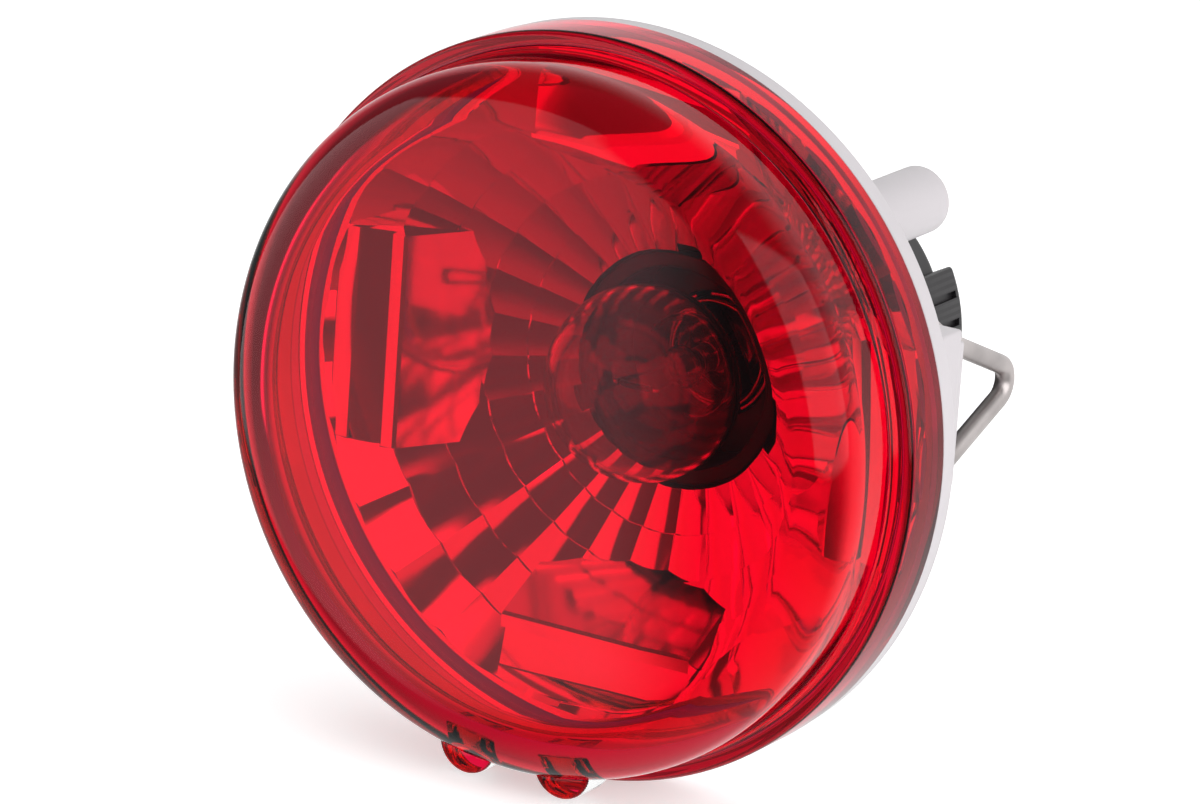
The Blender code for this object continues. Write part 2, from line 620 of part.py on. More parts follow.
def make_bulb(root, coats):
    make_glass(root, coats["bulb_glass"])
    bead_rear = BEAD_FRONT - BEAD_THICK
    foot = NECK_RADIUS - GLASS_WALL - SEAT_GAP
    foot_front, foot_rear = GLASS_END + 0.5 * MM, GLASS_END - 0.8 * MM
    stem = [(0.0, BEAD_FRONT), (BEAD_RADIUS, BEAD_FRONT), (BEAD_RADIUS, bead_rear)]
    stem += [(BEAD_RADIUS * 0.6, bead_rear - STEM_WAIST), (BEAD_RADIUS * 0.8, GLASS_END + STEM_FLARE)]
    stem += [(foot, foot_front), (foot, foot_rear), (0.0, foot_rear)]
    turned("glass_stem", stem, coats["bulb_glass"], root, SMALL_STEPS)
    for name, side in (("lead_live", -1), ("lead_earth", 1)):
        foot_point = (side * BEAD_RADIUS * 0.7, 0, BEAD_FRONT + SEAT_GAP)
        top_point = (side * (FILAMENT_HALF + SEAT_GAP + LEAD_RADIUS), 0, FILAMENT_HEIGHT + LEAD_PAST)
        rod(name, LEAD_RADIUS, foot_point, top_point, coats["steel"], root, TINY_STEPS)
    ends = (-FILAMENT_HALF, 0, FILAMENT_HEIGHT), (FILAMENT_HALF, 0, FILAMENT_HEIGHT)
    rod("filament", FILAMENT_RADIUS, *ends, coats["tungsten"], root, TINY_STEPS)
    cap_inner = CAP_RADIUS - CAP_WALL
    cap = [(CAP_RADIUS, CAP_REAR), (CAP_RADIUS, CAP_FRONT), (cap_inner, CAP_FRONT), (cap_inner, CAP_REAR)]
    turned("bulb_cap", cap, coats["brass"], root, 32)
    for name, side in (("bulb_pin_a", 1), ("bulb_pin_b", -1)):
        start = (0, side * (CAP_RADIUS + SNUG_GAP / 2), PIN_HEIGHT)
        end = (0, side * PIN_REACH, PIN_HEIGHT)
        rod(name, PIN_RADIUS, start, end, coats["brass"], root, TINY_STEPS)
    plug = cap_inner - SNUG_GAP
    pellet_top = CONTACT_END + CONTACT_THICK
    cone_end = pellet_top + SNUG_GAP
    base = [(0.0, CAP_REAR + PLUG_DEPTH), (plug, CAP_REAR + PLUG_DEPTH), (plug, CAP_REAR)]
    base += [(CONTACT_RADIUS + 1 * MM, cone_end), (0.0, cone_end)]
    turned("bulb_insulator", base, coats["black_glass"], root, SMALL_STEPS)
    pellet = [(0.0, pellet_top), (CONTACT_RADIUS, pellet_top)]
    pellet += [(CONTACT_RADIUS * 0.8, CONTACT_END), (0.0, CONTACT_END)]
    turned("bulb_contact", pellet, coats["solder"], root, SMALL_STEPS)


def rounded_path(points, radii, steps=4):
    """A path through the points with each inner corner swept round by its own radius."""
    path = [Vector(points[0])]
    corners = zip(points, points[1:], points[2:], radii)
    for before, corner, after, radius in corners:
        corner = Vector(corner)
        into = (Vector(before) - corner).normalized()
        away = (Vector(after) - corner).normalized()
        half = into.angle(away) / 2
        reach = radius / math.tan(half)
        centre = corner + (into + away).normalized() * radius / math.sin(half)
        start = corner + into * reach - centre
        end = corner + away * reach - centre
        sweep = start.rotation_difference(end)
        axis, angle = sweep.to_axis_angle()
        for i in range(steps + 1):
            path.append(centre + Quaternion(axis, angle * i / steps) @ start)
    path.append(Vector(points[-1]))
    return path


def make_clip(root, coat):
    """The bent wire, pivoted at its two ends in the housing's ears."""
    height = clip_height()
    end = CLIP_EAR_INNER + CLIP_EAR_THICK - 3 * SEAT_GAP
    half = [
        (CLIP_PIVOT, end, height),
        (CLIP_PIVOT, CLIP_ARM, height),
        (CLIP_ARM_END, CLIP_ARM, height),
        (CLIP_NOSE, CLIP_NOSE_HALF, height),
    ]
    nose = (CLIP_NOSE, 0.0, height - CLIP_NOSE_RISE)
    mirrored = [(x, -y, z) for x, y, z in reversed(half)]
    radii = [CLIP_BEND, CLIP_ARM_BEND, CLIP_NOSE_BEND, CLIP_NOSE_BEND, CLIP_NOSE_BEND, CLIP_ARM_BEND, CLIP_BEND]
    path = rounded_path(half + [nose] + mirrored, radii)
    pivot = Vector((CLIP_PIVOT, 0.0, height))
    clip = wire("clip_wire", [p - pivot for p in path], WIRE_RADIUS, coat, root)
    clip.location = pivot


def main():
    for old in list(bpy.data.objects):
        bpy.data.objects.remove(old, do_unlink=True)
    root = bpy.data.objects.new("lamp_frame", None)
    bpy.context.scene.collection.objects.link(root)
    root.rotation_euler = Euler((math.pi / 2, 0, 0))
    coats = {
        "lens": material("red_lens", (0.62, 0.01, 0.02), 0.05, 0.0, 1.0),
        "housing": material("pale_plastic", (0.60, 0.58, 0.60), 0.35),
        "mirror": material("bright_metal", (0.85, 0.85, 0.86), 0.08, 1.0),
        "holder": material("black_plastic", (0.02, 0.02, 0.025), 0.4),
        "rubber": material("black_rubber", (0.03, 0.03, 0.03), 0.8),
        "steel": material("spring_steel", (0.45, 0.42, 0.40), 0.35, 1.0),
        "brass": material("brass", (0.72, 0.55, 0.27), 0.3, 1.0),
        "board": material("brown_board", (0.25, 0.12, 0.05), 0.7),
        "bulb_glass": material("clear_glass", (0.95, 0.95, 0.95), 0.02, 0.0, 1.0),
        "black_glass": material("black_glass", (0.01, 0.01, 0.01), 0.1),
        "tungsten": material("tungsten", (0.25, 0.25, 0.26), 0.5, 1.0),
        "solder": material("solder", (0.62, 0.62, 0.64), 0.4, 1.0),
    }
    make_lens(root, coats["lens"])
    make_lens_seal(root, coats["rubber"])
    make_reflector(root, coats["mirror"])
    make_housing(root, coats["housing"])
    make_inserts(root, coats["brass"])
    make_holder(root, coats["holder"])
    make_holder_seal(root, coats["rubber"])
    make_sleeve(root, coats["steel"])
    make_plunger(root, coats["brass"], coats["board"])
    make_spring(root, coats["steel"])
    make_terminals(root, coats["brass"])
    make_bulb(root, coats)
    make_clip(root, coats["steel"])


main()
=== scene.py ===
"""Round rear lamp module: the fine surfaces, finishes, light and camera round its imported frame.

Metres. The lamp faces -Y and its top is +Z. A station is (radius, depth): the radius from the lamp's
axis, and the depth forward along it, so that depth is -Y. Angles run from three o'clock (+X) to twelve.
"""

import math

import bpy
import bmesh
from mathutils import Matrix, Vector


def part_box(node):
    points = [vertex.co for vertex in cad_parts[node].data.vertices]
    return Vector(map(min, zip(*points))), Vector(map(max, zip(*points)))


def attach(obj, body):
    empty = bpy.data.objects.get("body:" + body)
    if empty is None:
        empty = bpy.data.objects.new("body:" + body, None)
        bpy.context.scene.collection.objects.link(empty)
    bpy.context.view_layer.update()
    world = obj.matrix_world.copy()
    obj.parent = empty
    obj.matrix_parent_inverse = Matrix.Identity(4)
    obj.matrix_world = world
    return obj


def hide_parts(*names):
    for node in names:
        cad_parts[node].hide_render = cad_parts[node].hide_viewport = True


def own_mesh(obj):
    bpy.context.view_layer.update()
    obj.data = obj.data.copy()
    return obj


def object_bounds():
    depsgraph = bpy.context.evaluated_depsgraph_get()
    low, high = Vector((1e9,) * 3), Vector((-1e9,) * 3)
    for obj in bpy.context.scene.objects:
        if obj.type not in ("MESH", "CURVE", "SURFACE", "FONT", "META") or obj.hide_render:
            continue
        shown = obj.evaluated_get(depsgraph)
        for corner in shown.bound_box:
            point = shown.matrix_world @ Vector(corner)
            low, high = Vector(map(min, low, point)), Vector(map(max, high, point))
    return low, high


MM = 0.001
TURN = 2 * math.pi
AXIS = (0.0, 1.0, 0.0)
CENTRE = (0.0, 0.0, 0.0)
WELD = 0.004 * MM
GAP = 0.3 * MM

ROUND_STEPS = 192
SMALL_STEPS = 96

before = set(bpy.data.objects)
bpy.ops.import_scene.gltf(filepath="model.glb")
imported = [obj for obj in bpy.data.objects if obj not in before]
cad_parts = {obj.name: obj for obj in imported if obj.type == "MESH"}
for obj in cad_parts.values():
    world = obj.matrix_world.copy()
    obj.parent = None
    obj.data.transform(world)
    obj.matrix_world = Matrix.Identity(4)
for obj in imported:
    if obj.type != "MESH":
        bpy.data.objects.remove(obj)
cad_low, cad_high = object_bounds()


# ------------------------------------------------------------------ modelling


def place(radius, depth, degrees=0.0):
    """The point at a station, turned about the axis."""
    angle = math.radians(degrees)
    return Vector((radius * math.cos(angle), -depth, radius * math.sin(angle)))


def deselect_all():
    if bpy.context.object and bpy.context.object.mode != "OBJECT":
        bpy.ops.object.mode_set(mode="OBJECT")
    bpy.ops.object.select_all(action="DESELECT")


def pick(piece):
    deselect_all()
    piece.select_set(True)
    bpy.context.view_layer.objects.active = piece
    return piece


def edit(piece):
    pick(piece)
    bpy.ops.object.mode_set(mode="EDIT")
    bpy.ops.mesh.select_all(action="SELECT")


def done(piece, smooth=35):
    """Leaves edit mode with the piece's place in its mesh, smooth except at sharp edges."""
    if piece.mode == "EDIT":
        bpy.ops.object.mode_set(mode="OBJECT")
    pick(piece)
    bpy.ops.object.transform_apply(location=True, rotation=True, scale=True)
    bpy.ops.object.shade_smooth_by_angle(angle=math.radians(smooth))
    return piece


def arc(centre, radius, start, end, steps):
    """Stations on an arc, from start to end in degrees."""
    angles = [math.radians(start + (end - start) * i / steps) for i in range(steps + 1)]
    return [(centre[0] + radius * math.cos(a), centre[1] + radius * math.sin(a)) for a in angles]


def rounded(stations, radii, steps=4):
    """The stations with the named corners rounded: radii maps a station's number to its radius."""
    out = []
    count = len(stations)
    for number, station in enumerate(stations):
        radius = radii.get(number, 0.0)
        if radius <= 0:
            out.append(station)
            continue
        corner = Vector(station)
        into = (Vector(stations[number - 1]) - corner).normalized()
        away = (Vector(stations[(number + 1) % count]) - corner).normalized()
        half = into.angle(away) / 2
        reach = radius / math.tan(half)
        start, end = corner + into * reach, corner + away * reach
        for i in range(steps + 1):
            t = i / steps
            point = start * (1 - t) ** 2 + corner * 2 * t * (1 - t) + end * t**2
            out.append((point.x, point.y))
    return out


def draw_profile(name, stations):
    """A vertex extruded from station to station."""
    deselect_all()
    bpy.ops.mesh.primitive_plane_add(size=MM, location=place(*stations[0]))
    piece = bpy.context.object
    piece.name = piece.data.name = name
    edit(piece)
    bpy.ops.mesh.merge(type="CENTER")
    for before, after in zip(stations, stations[1:]):
        step = place(*after) - place(*before)
        bpy.ops.mesh.extrude_region_move(TRANSFORM_OT_translate={"value": step})
    return piece


def turned(name, stations, steps=ROUND_STEPS, smooth=35):
    """A closed profile spun about the lamp's axis. A profile whose two ends are on the axis stays open."""
    on_axis = stations[0][0] < WELD and stations[-1][0] < WELD
    piece = draw_profile(name, stations if on_axis else stations + stations[:1])
    bpy.ops.mesh.select_all(action="SELECT")
    bpy.ops.mesh.spin(steps=steps, angle=TURN, center=CENTRE, axis=AXIS)
    bpy.ops.mesh.select_all(action="SELECT")
    bpy.ops.mesh.remove_doubles(threshold=WELD)
    bpy.ops.mesh.delete_loose(use_verts=True, use_edges=True, use_faces=False)
    bpy.ops.mesh.select_all(action="SELECT")
    bpy.ops.mesh.normals_make_consistent(inside=False)
    return done(piece, smooth)


def slab(name, low, high, bevel=0.0, segments=3):
    """A block between two corners with its edges bevelled."""
    low, high = Vector(low), Vector(high)
    deselect_all()
    bpy.ops.mesh.primitive_cube_add(size=1.0, location=(low + high) / 2)
    piece = bpy.context.object
    piece.name = piece.data.name = name
    piece.scale = high - low
    bpy.ops.object.transform_apply(location=True, rotation=True, scale=True)
    if bevel > 0:
        edit(piece)
        bpy.ops.mesh.bevel(offset=bevel, segments=segments, affect="EDGES")
    return done(piece)


def bar(name, radius, start, end, bevel=0.0, steps=48):
    """A round bar between two points with its end edges bevelled."""
    start, end = Vector(start), Vector(end)
    along = end - start
    deselect_all()
    bpy.ops.mesh.primitive_cylinder_add(
        vertices=steps, radius=radius, depth=along.length, location=(start + end) / 2,
        rotation=along.to_track_quat("Z", "Y").to_euler(),
    )
    piece = bpy.context.object
    piece.name = piece.data.name = name
    if bevel > 0:
        edit(piece)
        bpy.ops.mesh.select_all(action="DESELECT")
        bpy.ops.object.mode_set(mode="OBJECT")
        for edge in piece.data.edges:
            ends = [piece.data.vertices[v].co.z for v in edge.vertices]
            edge.select = abs(ends[0] - ends[1]) < WELD
        bpy.ops.object.mode_set(mode="EDIT")
        bpy.ops.mesh.bevel(offset=bevel, segments=3, affect="EDGES")
    return done(piece)


def carve(piece, others, operation):
    """Joins or cuts a piece with others, which are used up."""
    for other in others:
        change = piece.modifiers.new("cut", "BOOLEAN")
        change.object = other
        change.operation = operation
        change.solver = "MANIFOLD"
        pick(piece)
        bpy.ops.object.modifier_apply(modifier=change.name)
        bpy.data.objects.remove(other, do_unlink=True)
    return done(piece)


def turned_copy(piece, degrees):
    """A copy of a piece, with its own mesh, turned about the lamp's axis."""
    twin = piece.copy()
    twin.data = piece.data.copy()
    twin.name = twin.data.name = piece.name
    bpy.context.scene.collection.objects.link(twin)
    twin.data.transform(Matrix.Rotation(-math.radians(degrees), 4, "Y"))
    return twin


def wire(name, points, radius, resolution=6):
    """A round wire along a list of points, made a mesh."""
    curve = bpy.data.curves.new(name, "CURVE")
    curve.dimensions = "3D"
    curve.bevel_depth = radius
    curve.bevel_resolution = resolution
    curve.use_fill_caps = True
    spline = curve.splines.new("POLY")
    spline.points.add(len(points) - 1)
    for slot, point in zip(spline.points, points):
        slot.co = (*point, 1.0)
    piece = bpy.data.objects.new(name, curve)
    bpy.context.scene.collection.objects.link(piece)
    pick(piece)
    bpy.ops.object.convert(target="MESH")
    piece = bpy.context.object
    piece.name = piece.data.name = name
    return done(piece, 50)


def swept_corners(points, radii, steps=10):
    """A path through the points with each inner corner swept round by its own radius."""
    path = [Vector(points[0])]
    for before, corner, after, radius in zip(points, points[1:], points[2:], radii):
        corner = Vector(corner)
        into = (Vector(before) - corner).normalized()
        away = (Vector(after) - corner).normalized()
        half = into.angle(away) / 2
        reach = radius / math.tan(half)
        centre = corner + (into + away).normalized() * radius / math.sin(half)
        start = corner + into * reach - centre
        axis, angle = start.rotation_difference(corner + away * reach - centre).to_axis_angle()
        for i in range(steps + 1):
            path.append(centre + Matrix.Rotation(angle * i / steps, 3, axis) @ start)
    path.append(Vector(points[-1]))
    return path


def settle(piece, body, slot, coat, *nodes):
    """Gives a piece its finish and its body, and hides the CAD nodes that it stands for; its slot is not
    used.
    """
    piece.data.materials.clear()
    piece.data.materials.append(coat)
    if nodes:
        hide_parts(*nodes)
    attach(piece, body)
    return piece


# ------------------------------------------------------------------ finishes


def effect_group(name, inputs, outputs):
    """An empty shader group with named sockets, and its input and output nodes."""
    group = bpy.data.node_groups.new(name, "ShaderNodeTree")
    for label, kind, value in inputs:
        socket = group.interface.new_socket(name=label, in_out="INPUT", socket_type=kind)
        socket.default_value = value
    for label, kind in outputs:
        group.interface.new_socket(name=label, in_out="OUTPUT", socket_type=kind)
    return group, group.nodes.new("NodeGroupInput"), group.nodes.new("NodeGroupOutput")


def node(tree, kind, links=(), **values):
    """A node with plain values on its sockets, or properties, and links into it."""
    made = tree.nodes.new(kind)
    for key, value in values.items():
        label = key.replace("_", " ")
        if hasattr(made, key):
            setattr(made, key, value)
        else:
            made.inputs[label].default_value = value
    for label, source in links:
        tree.links.new(source, made.inputs[label])
    return made


FLOAT, VECTOR, COLOUR = "NodeSocketFloat", "NodeSocketVector", "NodeSocketColor"


def make_tone_group():
    """Slow and fine unevenness: a colour a little lighter and darker, and a roughness to go with it."""
    group, entry, leave = effect_group(
        "uneven_tone",
        [
            ("Colour", COLOUR, (0.5, 0.5, 0.5, 1)), ("Scale", FLOAT, 60.0), ("Amount", FLOAT, 0.1),
            ("Roughness", FLOAT, 0.4), ("Roughness Spread", FLOAT, 0.1),
        ],
        [("Colour", COLOUR), ("Roughness", FLOAT)],
    )
    place_in = node(group, "ShaderNodeTexCoord").outputs["Object"]
    slow = node(
        group, "ShaderNodeTexNoise", [("Vector", place_in), ("Scale", entry.outputs["Scale"])], Detail=3.0,
    )
    low = node(group, "ShaderNodeMath", [(1, entry.outputs["Amount"])], operation="SUBTRACT")
    low.inputs[0].default_value = 1.0
    shade = node(
        group, "ShaderNodeMapRange",
        [("Value", slow.outputs["Fac"]), ("To Min", low.outputs[0])],
        **{"From_Min": 0.3, "From_Max": 0.7, "To_Max": 1.0},
    )
    tint = node(group, "ShaderNodeVectorMath", [(0, entry.outputs["Colour"])], operation="SCALE")
    group.links.new(shade.outputs["Result"], tint.inputs["Scale"])
    group.links.new(tint.outputs["Vector"], leave.inputs["Colour"])
    fine = node(group, "ShaderNodeTexNoise", [("Vector", place_in)], Scale=420.0, Detail=4.0)
    centred = node(group, "ShaderNodeMath", [(0, fine.outputs["Fac"])], operation="SUBTRACT")
    centred.inputs[1].default_value = 0.5
    spread = node(
        group, "ShaderNodeMath",
        [(0, centred.outputs[0]), (1, entry.outputs["Roughness Spread"])], operation="MULTIPLY",
    )
    total = node(
        group, "ShaderNodeMath", [(0, spread.outputs[0]), (1, entry.outputs["Roughness"])], operation="ADD",
    )
    group.links.new(total.outputs[0], leave.inputs["Roughness"])
    return group


def make_grain_group():
    """The height of a moulded or spark-eroded skin."""
    group, entry, leave = effect_group(
        "moulded_grain",
        [("Scale", FLOAT, 900.0), ("Waves", FLOAT, 40.0), ("Wave Share", FLOAT, 0.5)],
        [("Height", FLOAT)],
    )
    place_in = node(group, "ShaderNodeTexCoord").outputs["Object"]
    fine, slow = (
        node(
            group, "ShaderNodeTexNoise",
            [("Vector", place_in), ("Scale", entry.outputs[label])], Detail=detail,
        )
        for label, detail in (("Scale", 3.0), ("Waves", 1.0))
    )
    mixed = node(
        group, "ShaderNodeMix",
        [("Factor", entry.outputs["Wave Share"]), ("A", fine.outputs["Fac"]), ("B", slow.outputs["Fac"])],
    )
    group.links.new(mixed.outputs["Result"], leave.inputs["Height"])
    return group


def make_lines_group():
    """Fine lines along one direction, as on drawn wire or rolled strip."""
    group, entry, leave = effect_group(
        "drawn_lines",
        [("Stretch", VECTOR, (1.0, 1.0, 1.0)), ("Scale", FLOAT, 900.0)],
        [("Height", FLOAT)],
    )
    place_in = node(group, "ShaderNodeTexCoord").outputs["Object"]
    scaled = node(
        group, "ShaderNodeVectorMath", [(0, place_in), (1, entry.outputs["Stretch"])], operation="MULTIPLY",
    )
    lines = node(
        group, "ShaderNodeTexNoise",
        [("Vector", scaled.outputs["Vector"]), ("Scale", entry.outputs["Scale"])], Detail=2.0,
    )
    group.links.new(lines.outputs["Fac"], leave.inputs["Height"])
    return group


TONE, GRAIN, LINES = make_tone_group(), make_grain_group(), make_lines_group()


def use_group(tree, group, links=(), **values):
    made = tree.nodes.new("ShaderNodeGroup")
    made.node_tree = group
    for key, value in values.items():
        made.inputs[key.replace("_", " ")].default_value = value
    for label, source in links:
        tree.links.new(source, made.inputs[label])
    return made


def finish_of(name, colour, roughness, metallic=0.0, spread=0.1, tone=0.1, tone_scale=60.0, **plain):
    """A material whose colour and roughness come from the tone group; plain values go on the shader."""
    coat = bpy.data.materials.new(name)
    coat.use_nodes = True
    tree = coat.node_tree
    shader = tree.nodes["Principled BSDF"]
    shader.inputs["Metallic"].default_value = metallic
    for key, value in plain.items():
        shader.inputs[key.replace("_", " ")].default_value = value
    uneven = use_group(
        tree, TONE,
        Colour=(*colour, 1), Scale=tone_scale, Amount=tone, Roughness=roughness, Roughness_Spread=spread,
    )
    tree.links.new(uneven.outputs["Colour"], shader.inputs["Base Color"])
    tree.links.new(uneven.outputs["Roughness"], shader.inputs["Roughness"])
    coat.diffuse_color = (*colour, 1)
    return coat, tree, shader


def raise_skin(tree, shader, source, distance, strength=1.0):
    """A bump of a given height in metres from a height socket."""
    bump = node(tree, "ShaderNodeBump", [("Height", source)], Distance=distance, Strength=strength)
    tree.links.new(bump.outputs["Normal"], shader.inputs["Normal"])


def red_lens_finish():
    coat, tree, shader = finish_of(
        "red_lens", (0.93, 0.10, 0.22), 0.012, spread=0.01, tone=0.03, tone_scale=40.0,
        Transmission_Weight=1.0, IOR=1.49, Specular_Tint=(0.38, 0.38, 0.40, 1),
    )
    grain = use_group(tree, GRAIN, Scale=260.0, Waves=30.0, Wave_Share=0.8)
    raise_skin(tree, shader, grain.outputs["Height"], 0.02 * MM, 0.12)
    depth = node(tree, "ShaderNodeVolumeAbsorption", Color=(0.965, 0.0, 0.70, 1), Density=850.0)
    tree.links.new(depth.outputs["Volume"], tree.nodes["Material Output"].inputs["Volume"])
    return coat


def clear_glass_finish():
    coat, tree, shader = finish_of(
        "bulb_glass", (0.97, 0.985, 0.98), 0.0, spread=0.01, tone=0.02, tone_scale=40.0,
        Transmission_Weight=1.0, IOR=1.5,
    )
    grain = use_group(tree, GRAIN, Scale=120.0, Waves=45.0, Wave_Share=0.9)
    raise_skin(tree, shader, grain.outputs["Height"], 0.02 * MM, 0.3)
    return coat


def bright_coating_finish():
    coat, tree, shader = finish_of(
        "bright_coating", (0.90, 0.90, 0.91), 0.07, metallic=1.0, spread=0.03, tone=0.05, tone_scale=30.0,
    )
    grain = use_group(tree, GRAIN, Scale=500.0, Waves=90.0, Wave_Share=0.75)
    raise_skin(tree, shader, grain.outputs["Height"], 0.012 * MM, 0.5)
    return coat


def moulded_finish(name, colour, roughness, height, scale, tone=0.06):
    coat, tree, shader = finish_of(name, colour, roughness, spread=0.12, tone=tone, tone_scale=35.0)
    grain = use_group(tree, GRAIN, Scale=scale, Waves=60.0, Wave_Share=0.25)
    raise_skin(tree, shader, grain.outputs["Height"], height, 0.5)
    return coat


def pale_finish_painted_glow(name, colour, roughness, scale, painted_glow):
    """A pale plastic or rubber with an even emission: a painted glow, so it shines by itself though it is no
    lamp.
    """
    coat = moulded_finish(name, colour, roughness, 0.015 * MM, scale)
    shader = coat.node_tree.nodes["Principled BSDF"]
    # painted glow: an emission that brightens the part whatever light falls on it
    shader.inputs["Emission Color"].default_value = (1, 0.96, 0.97, 1)
    shader.inputs["Emission Strength"].default_value = painted_glow
    return coat


def metal_finish(name, colour, roughness, stretch=(1.0, 1.0, 1.0), height=0.01 * MM, tone=0.2, spread=0.15):
    coat, tree, shader = finish_of(
        name, colour, roughness, metallic=1.0, spread=spread, tone=tone, tone_scale=140.0,
    )
    lines = use_group(tree, LINES, Stretch=stretch, Scale=700.0)
    raise_skin(tree, shader, lines.outputs["Height"], height, 0.6)
    return coat


COATS = {
    "red_lens": red_lens_finish(),
    "bulb_glass": clear_glass_finish(),
    "bright_coating": bright_coating_finish(),
    # the housing's pale plastic and the lens seal's pale rubber both carry a painted glow from emission
    "pale_plastic": pale_finish_painted_glow("pale_plastic", (0.47, 0.44, 0.46), 0.36, 1400.0, 0.10),
    "black_plastic": moulded_finish("black_plastic", (0.014, 0.012, 0.014), 0.42, 0.02 * MM, 1600.0, 0.2),
    "seal_rubber": moulded_finish("seal_rubber", (0.03, 0.03, 0.032), 0.7, 0.03 * MM, 900.0, 0.25),
    "pale_rubber": pale_finish_painted_glow("pale_rubber", (0.62, 0.58, 0.58), 0.7, 900.0, 0.45),
    "brown_board": moulded_finish("brown_board", (0.25, 0.12, 0.05), 0.6, 0.03 * MM, 700.0, 0.25),
    "black_glass": moulded_finish("black_glass", (0.012, 0.011, 0.014), 0.08, 0.02 * MM, 400.0, 0.2),
    "insert_brass": metal_finish("insert_brass", (0.72, 0.55, 0.27), 0.30),
    "cap_brass": metal_finish("cap_brass", (0.66, 0.56, 0.38), 0.28),
    "tinned_brass": metal_finish("tinned_brass", (0.66, 0.63, 0.55), 0.30, (1.0, 0.08, 1.0)),
    "plated_steel": metal_finish("plated_steel", (0.56, 0.56, 0.58), 0.25),
    "spring_steel": metal_finish("spring_steel", (0.42, 0.41, 0.41), 0.28),
    "clip_steel": metal_finish(
        "clip_steel", (0.62, 0.57, 0.56), 0.40, (0.25, 1.0, 1.0), height=0.015 * MM, tone=0.3, spread=0.2,
    ),
    "tungsten": metal_finish("tungsten", (0.20, 0.20, 0.21), 0.45),
    "solder": metal_finish("solder", (0.62, 0.62, 0.64), 0.38),
}


# ------------------------------------------------------------------ sizes, from the frame


def spans(name):
    """A node's outer radius, rear depth and front depth."""
    low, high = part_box(name)
    return high.x, -high.y, -low.y


SKIRT_RADIUS, SKIRT_REAR, LENS_FRONT = spans("lens")
SKIRT_WALL = 2.3 * MM
SKIRT_FRONT = 11.6 * MM
FACE_CROWN = 0.9 * MM
FACE_WALL = 2.6 * MM
CUP_RADIUS = SKIRT_RADIUS - 2.6 * MM
CUP_FRONT = LENS_FRONT - FACE_CROWN
CUP_SHOULDER = 7.1 * MM
CUP_WALL = 2.4 * MM
LUG_RADIUS = 4.2 * MM
LUG_CENTRE = CUP_RADIUS + 2.4 * MM - LUG_RADIUS
LUG_SPREAD = 9.2
LUG_REAR = 15.5 * MM
LUG_FRONT = 21.5 * MM

RIM_FRONT = 3.1 * MM
VERTEX = -17.0 * MM
FOCAL = 26.0 * MM
THROAT = 16.2 * MM
REFLECTOR_RIM = spans("reflector")[0]
REFLECTOR_EDGE = REFLECTOR_RIM - 1.5 * MM
REFLECTOR_WALL = 1.8 * MM
PAD_OUTER = REFLECTOR_EDGE - 0.8 * MM
PAD_INNER = PAD_OUTER - 7.2 * MM
PAD_FRONT = 2.0 * MM
PAD_HALF = 14.5 * MM

POST_CIRCLE = 35.0 * MM
POST_RADIUS = 4.5 * MM
POST_ANGLES = (45, 165, 285)
INSERT_BORE = 3.5 * MM
COLLAR_BORE = 20.8 * MM
COLLAR_REAR = -17.5 * MM
CAP_RADIUS, CAP_REAR, CAP_FRONT = spans("bulb_cap")
GLOBE_RADIUS = spans("bulb_glass")[0]
GLOBE_CENTRE = spans("bulb_glass")[2] - GLOBE_RADIUS
CLIP_HEIGHT = -22.4 * MM
WIRE_RADIUS = 1.3 * MM


def bright_side(radius):
    """The depth of the reflector's bright side at a radius."""
    return VERTEX + radius**2 / (4 * FOCAL)


def bowl_line(start, end, drop, steps):
    """The reflector's curve from one radius to another, moved back by drop."""
    radii = [start + (end - start) * i / steps for i in range(steps + 1)]
    return [(r, bright_side(r) - drop) for r in radii]


def slice_of_ring(name, inner, outer, rear, front, middle, half, steps=12):
    """A length of ring about the axis, from an angle less half to the angle plus half."""
    piece = draw_profile(name, [(inner, rear), (outer, rear), (outer, front), (inner, front), (inner, rear)])
    bpy.ops.mesh.select_all(action="SELECT")
    bpy.ops.mesh.remove_doubles(threshold=WELD)
    bpy.ops.mesh.select_all(action="SELECT")
    bpy.ops.mesh.edge_face_add()
    bpy.ops.mesh.spin(steps=steps, angle=math.radians(2 * half), center=CENTRE, axis=AXIS)
    bpy.ops.mesh.select_all(action="SELECT")
    bpy.ops.mesh.normals_make_consistent(inside=False)
    done(piece)
    lows = [math.degrees(math.atan2(v.co.z, v.co.x)) for v in piece.data.vertices]
    piece.data.transform(Matrix.Rotation(-math.radians(middle - (min(lows) + max(lows)) / 2), 4, "Y"))
    return piece


# ------------------------------------------------------------------ lens and seals


def crown(height, start, end, steps):
    """The gently domed face, from one radius to another."""
    flat = CUP_RADIUS - CUP_SHOULDER
    radii = [start + (end - start) * i / steps for i in range(steps + 1)]
    return [(r, height + FACE_CROWN * (1 - (r / flat) ** 2)) for r in radii]


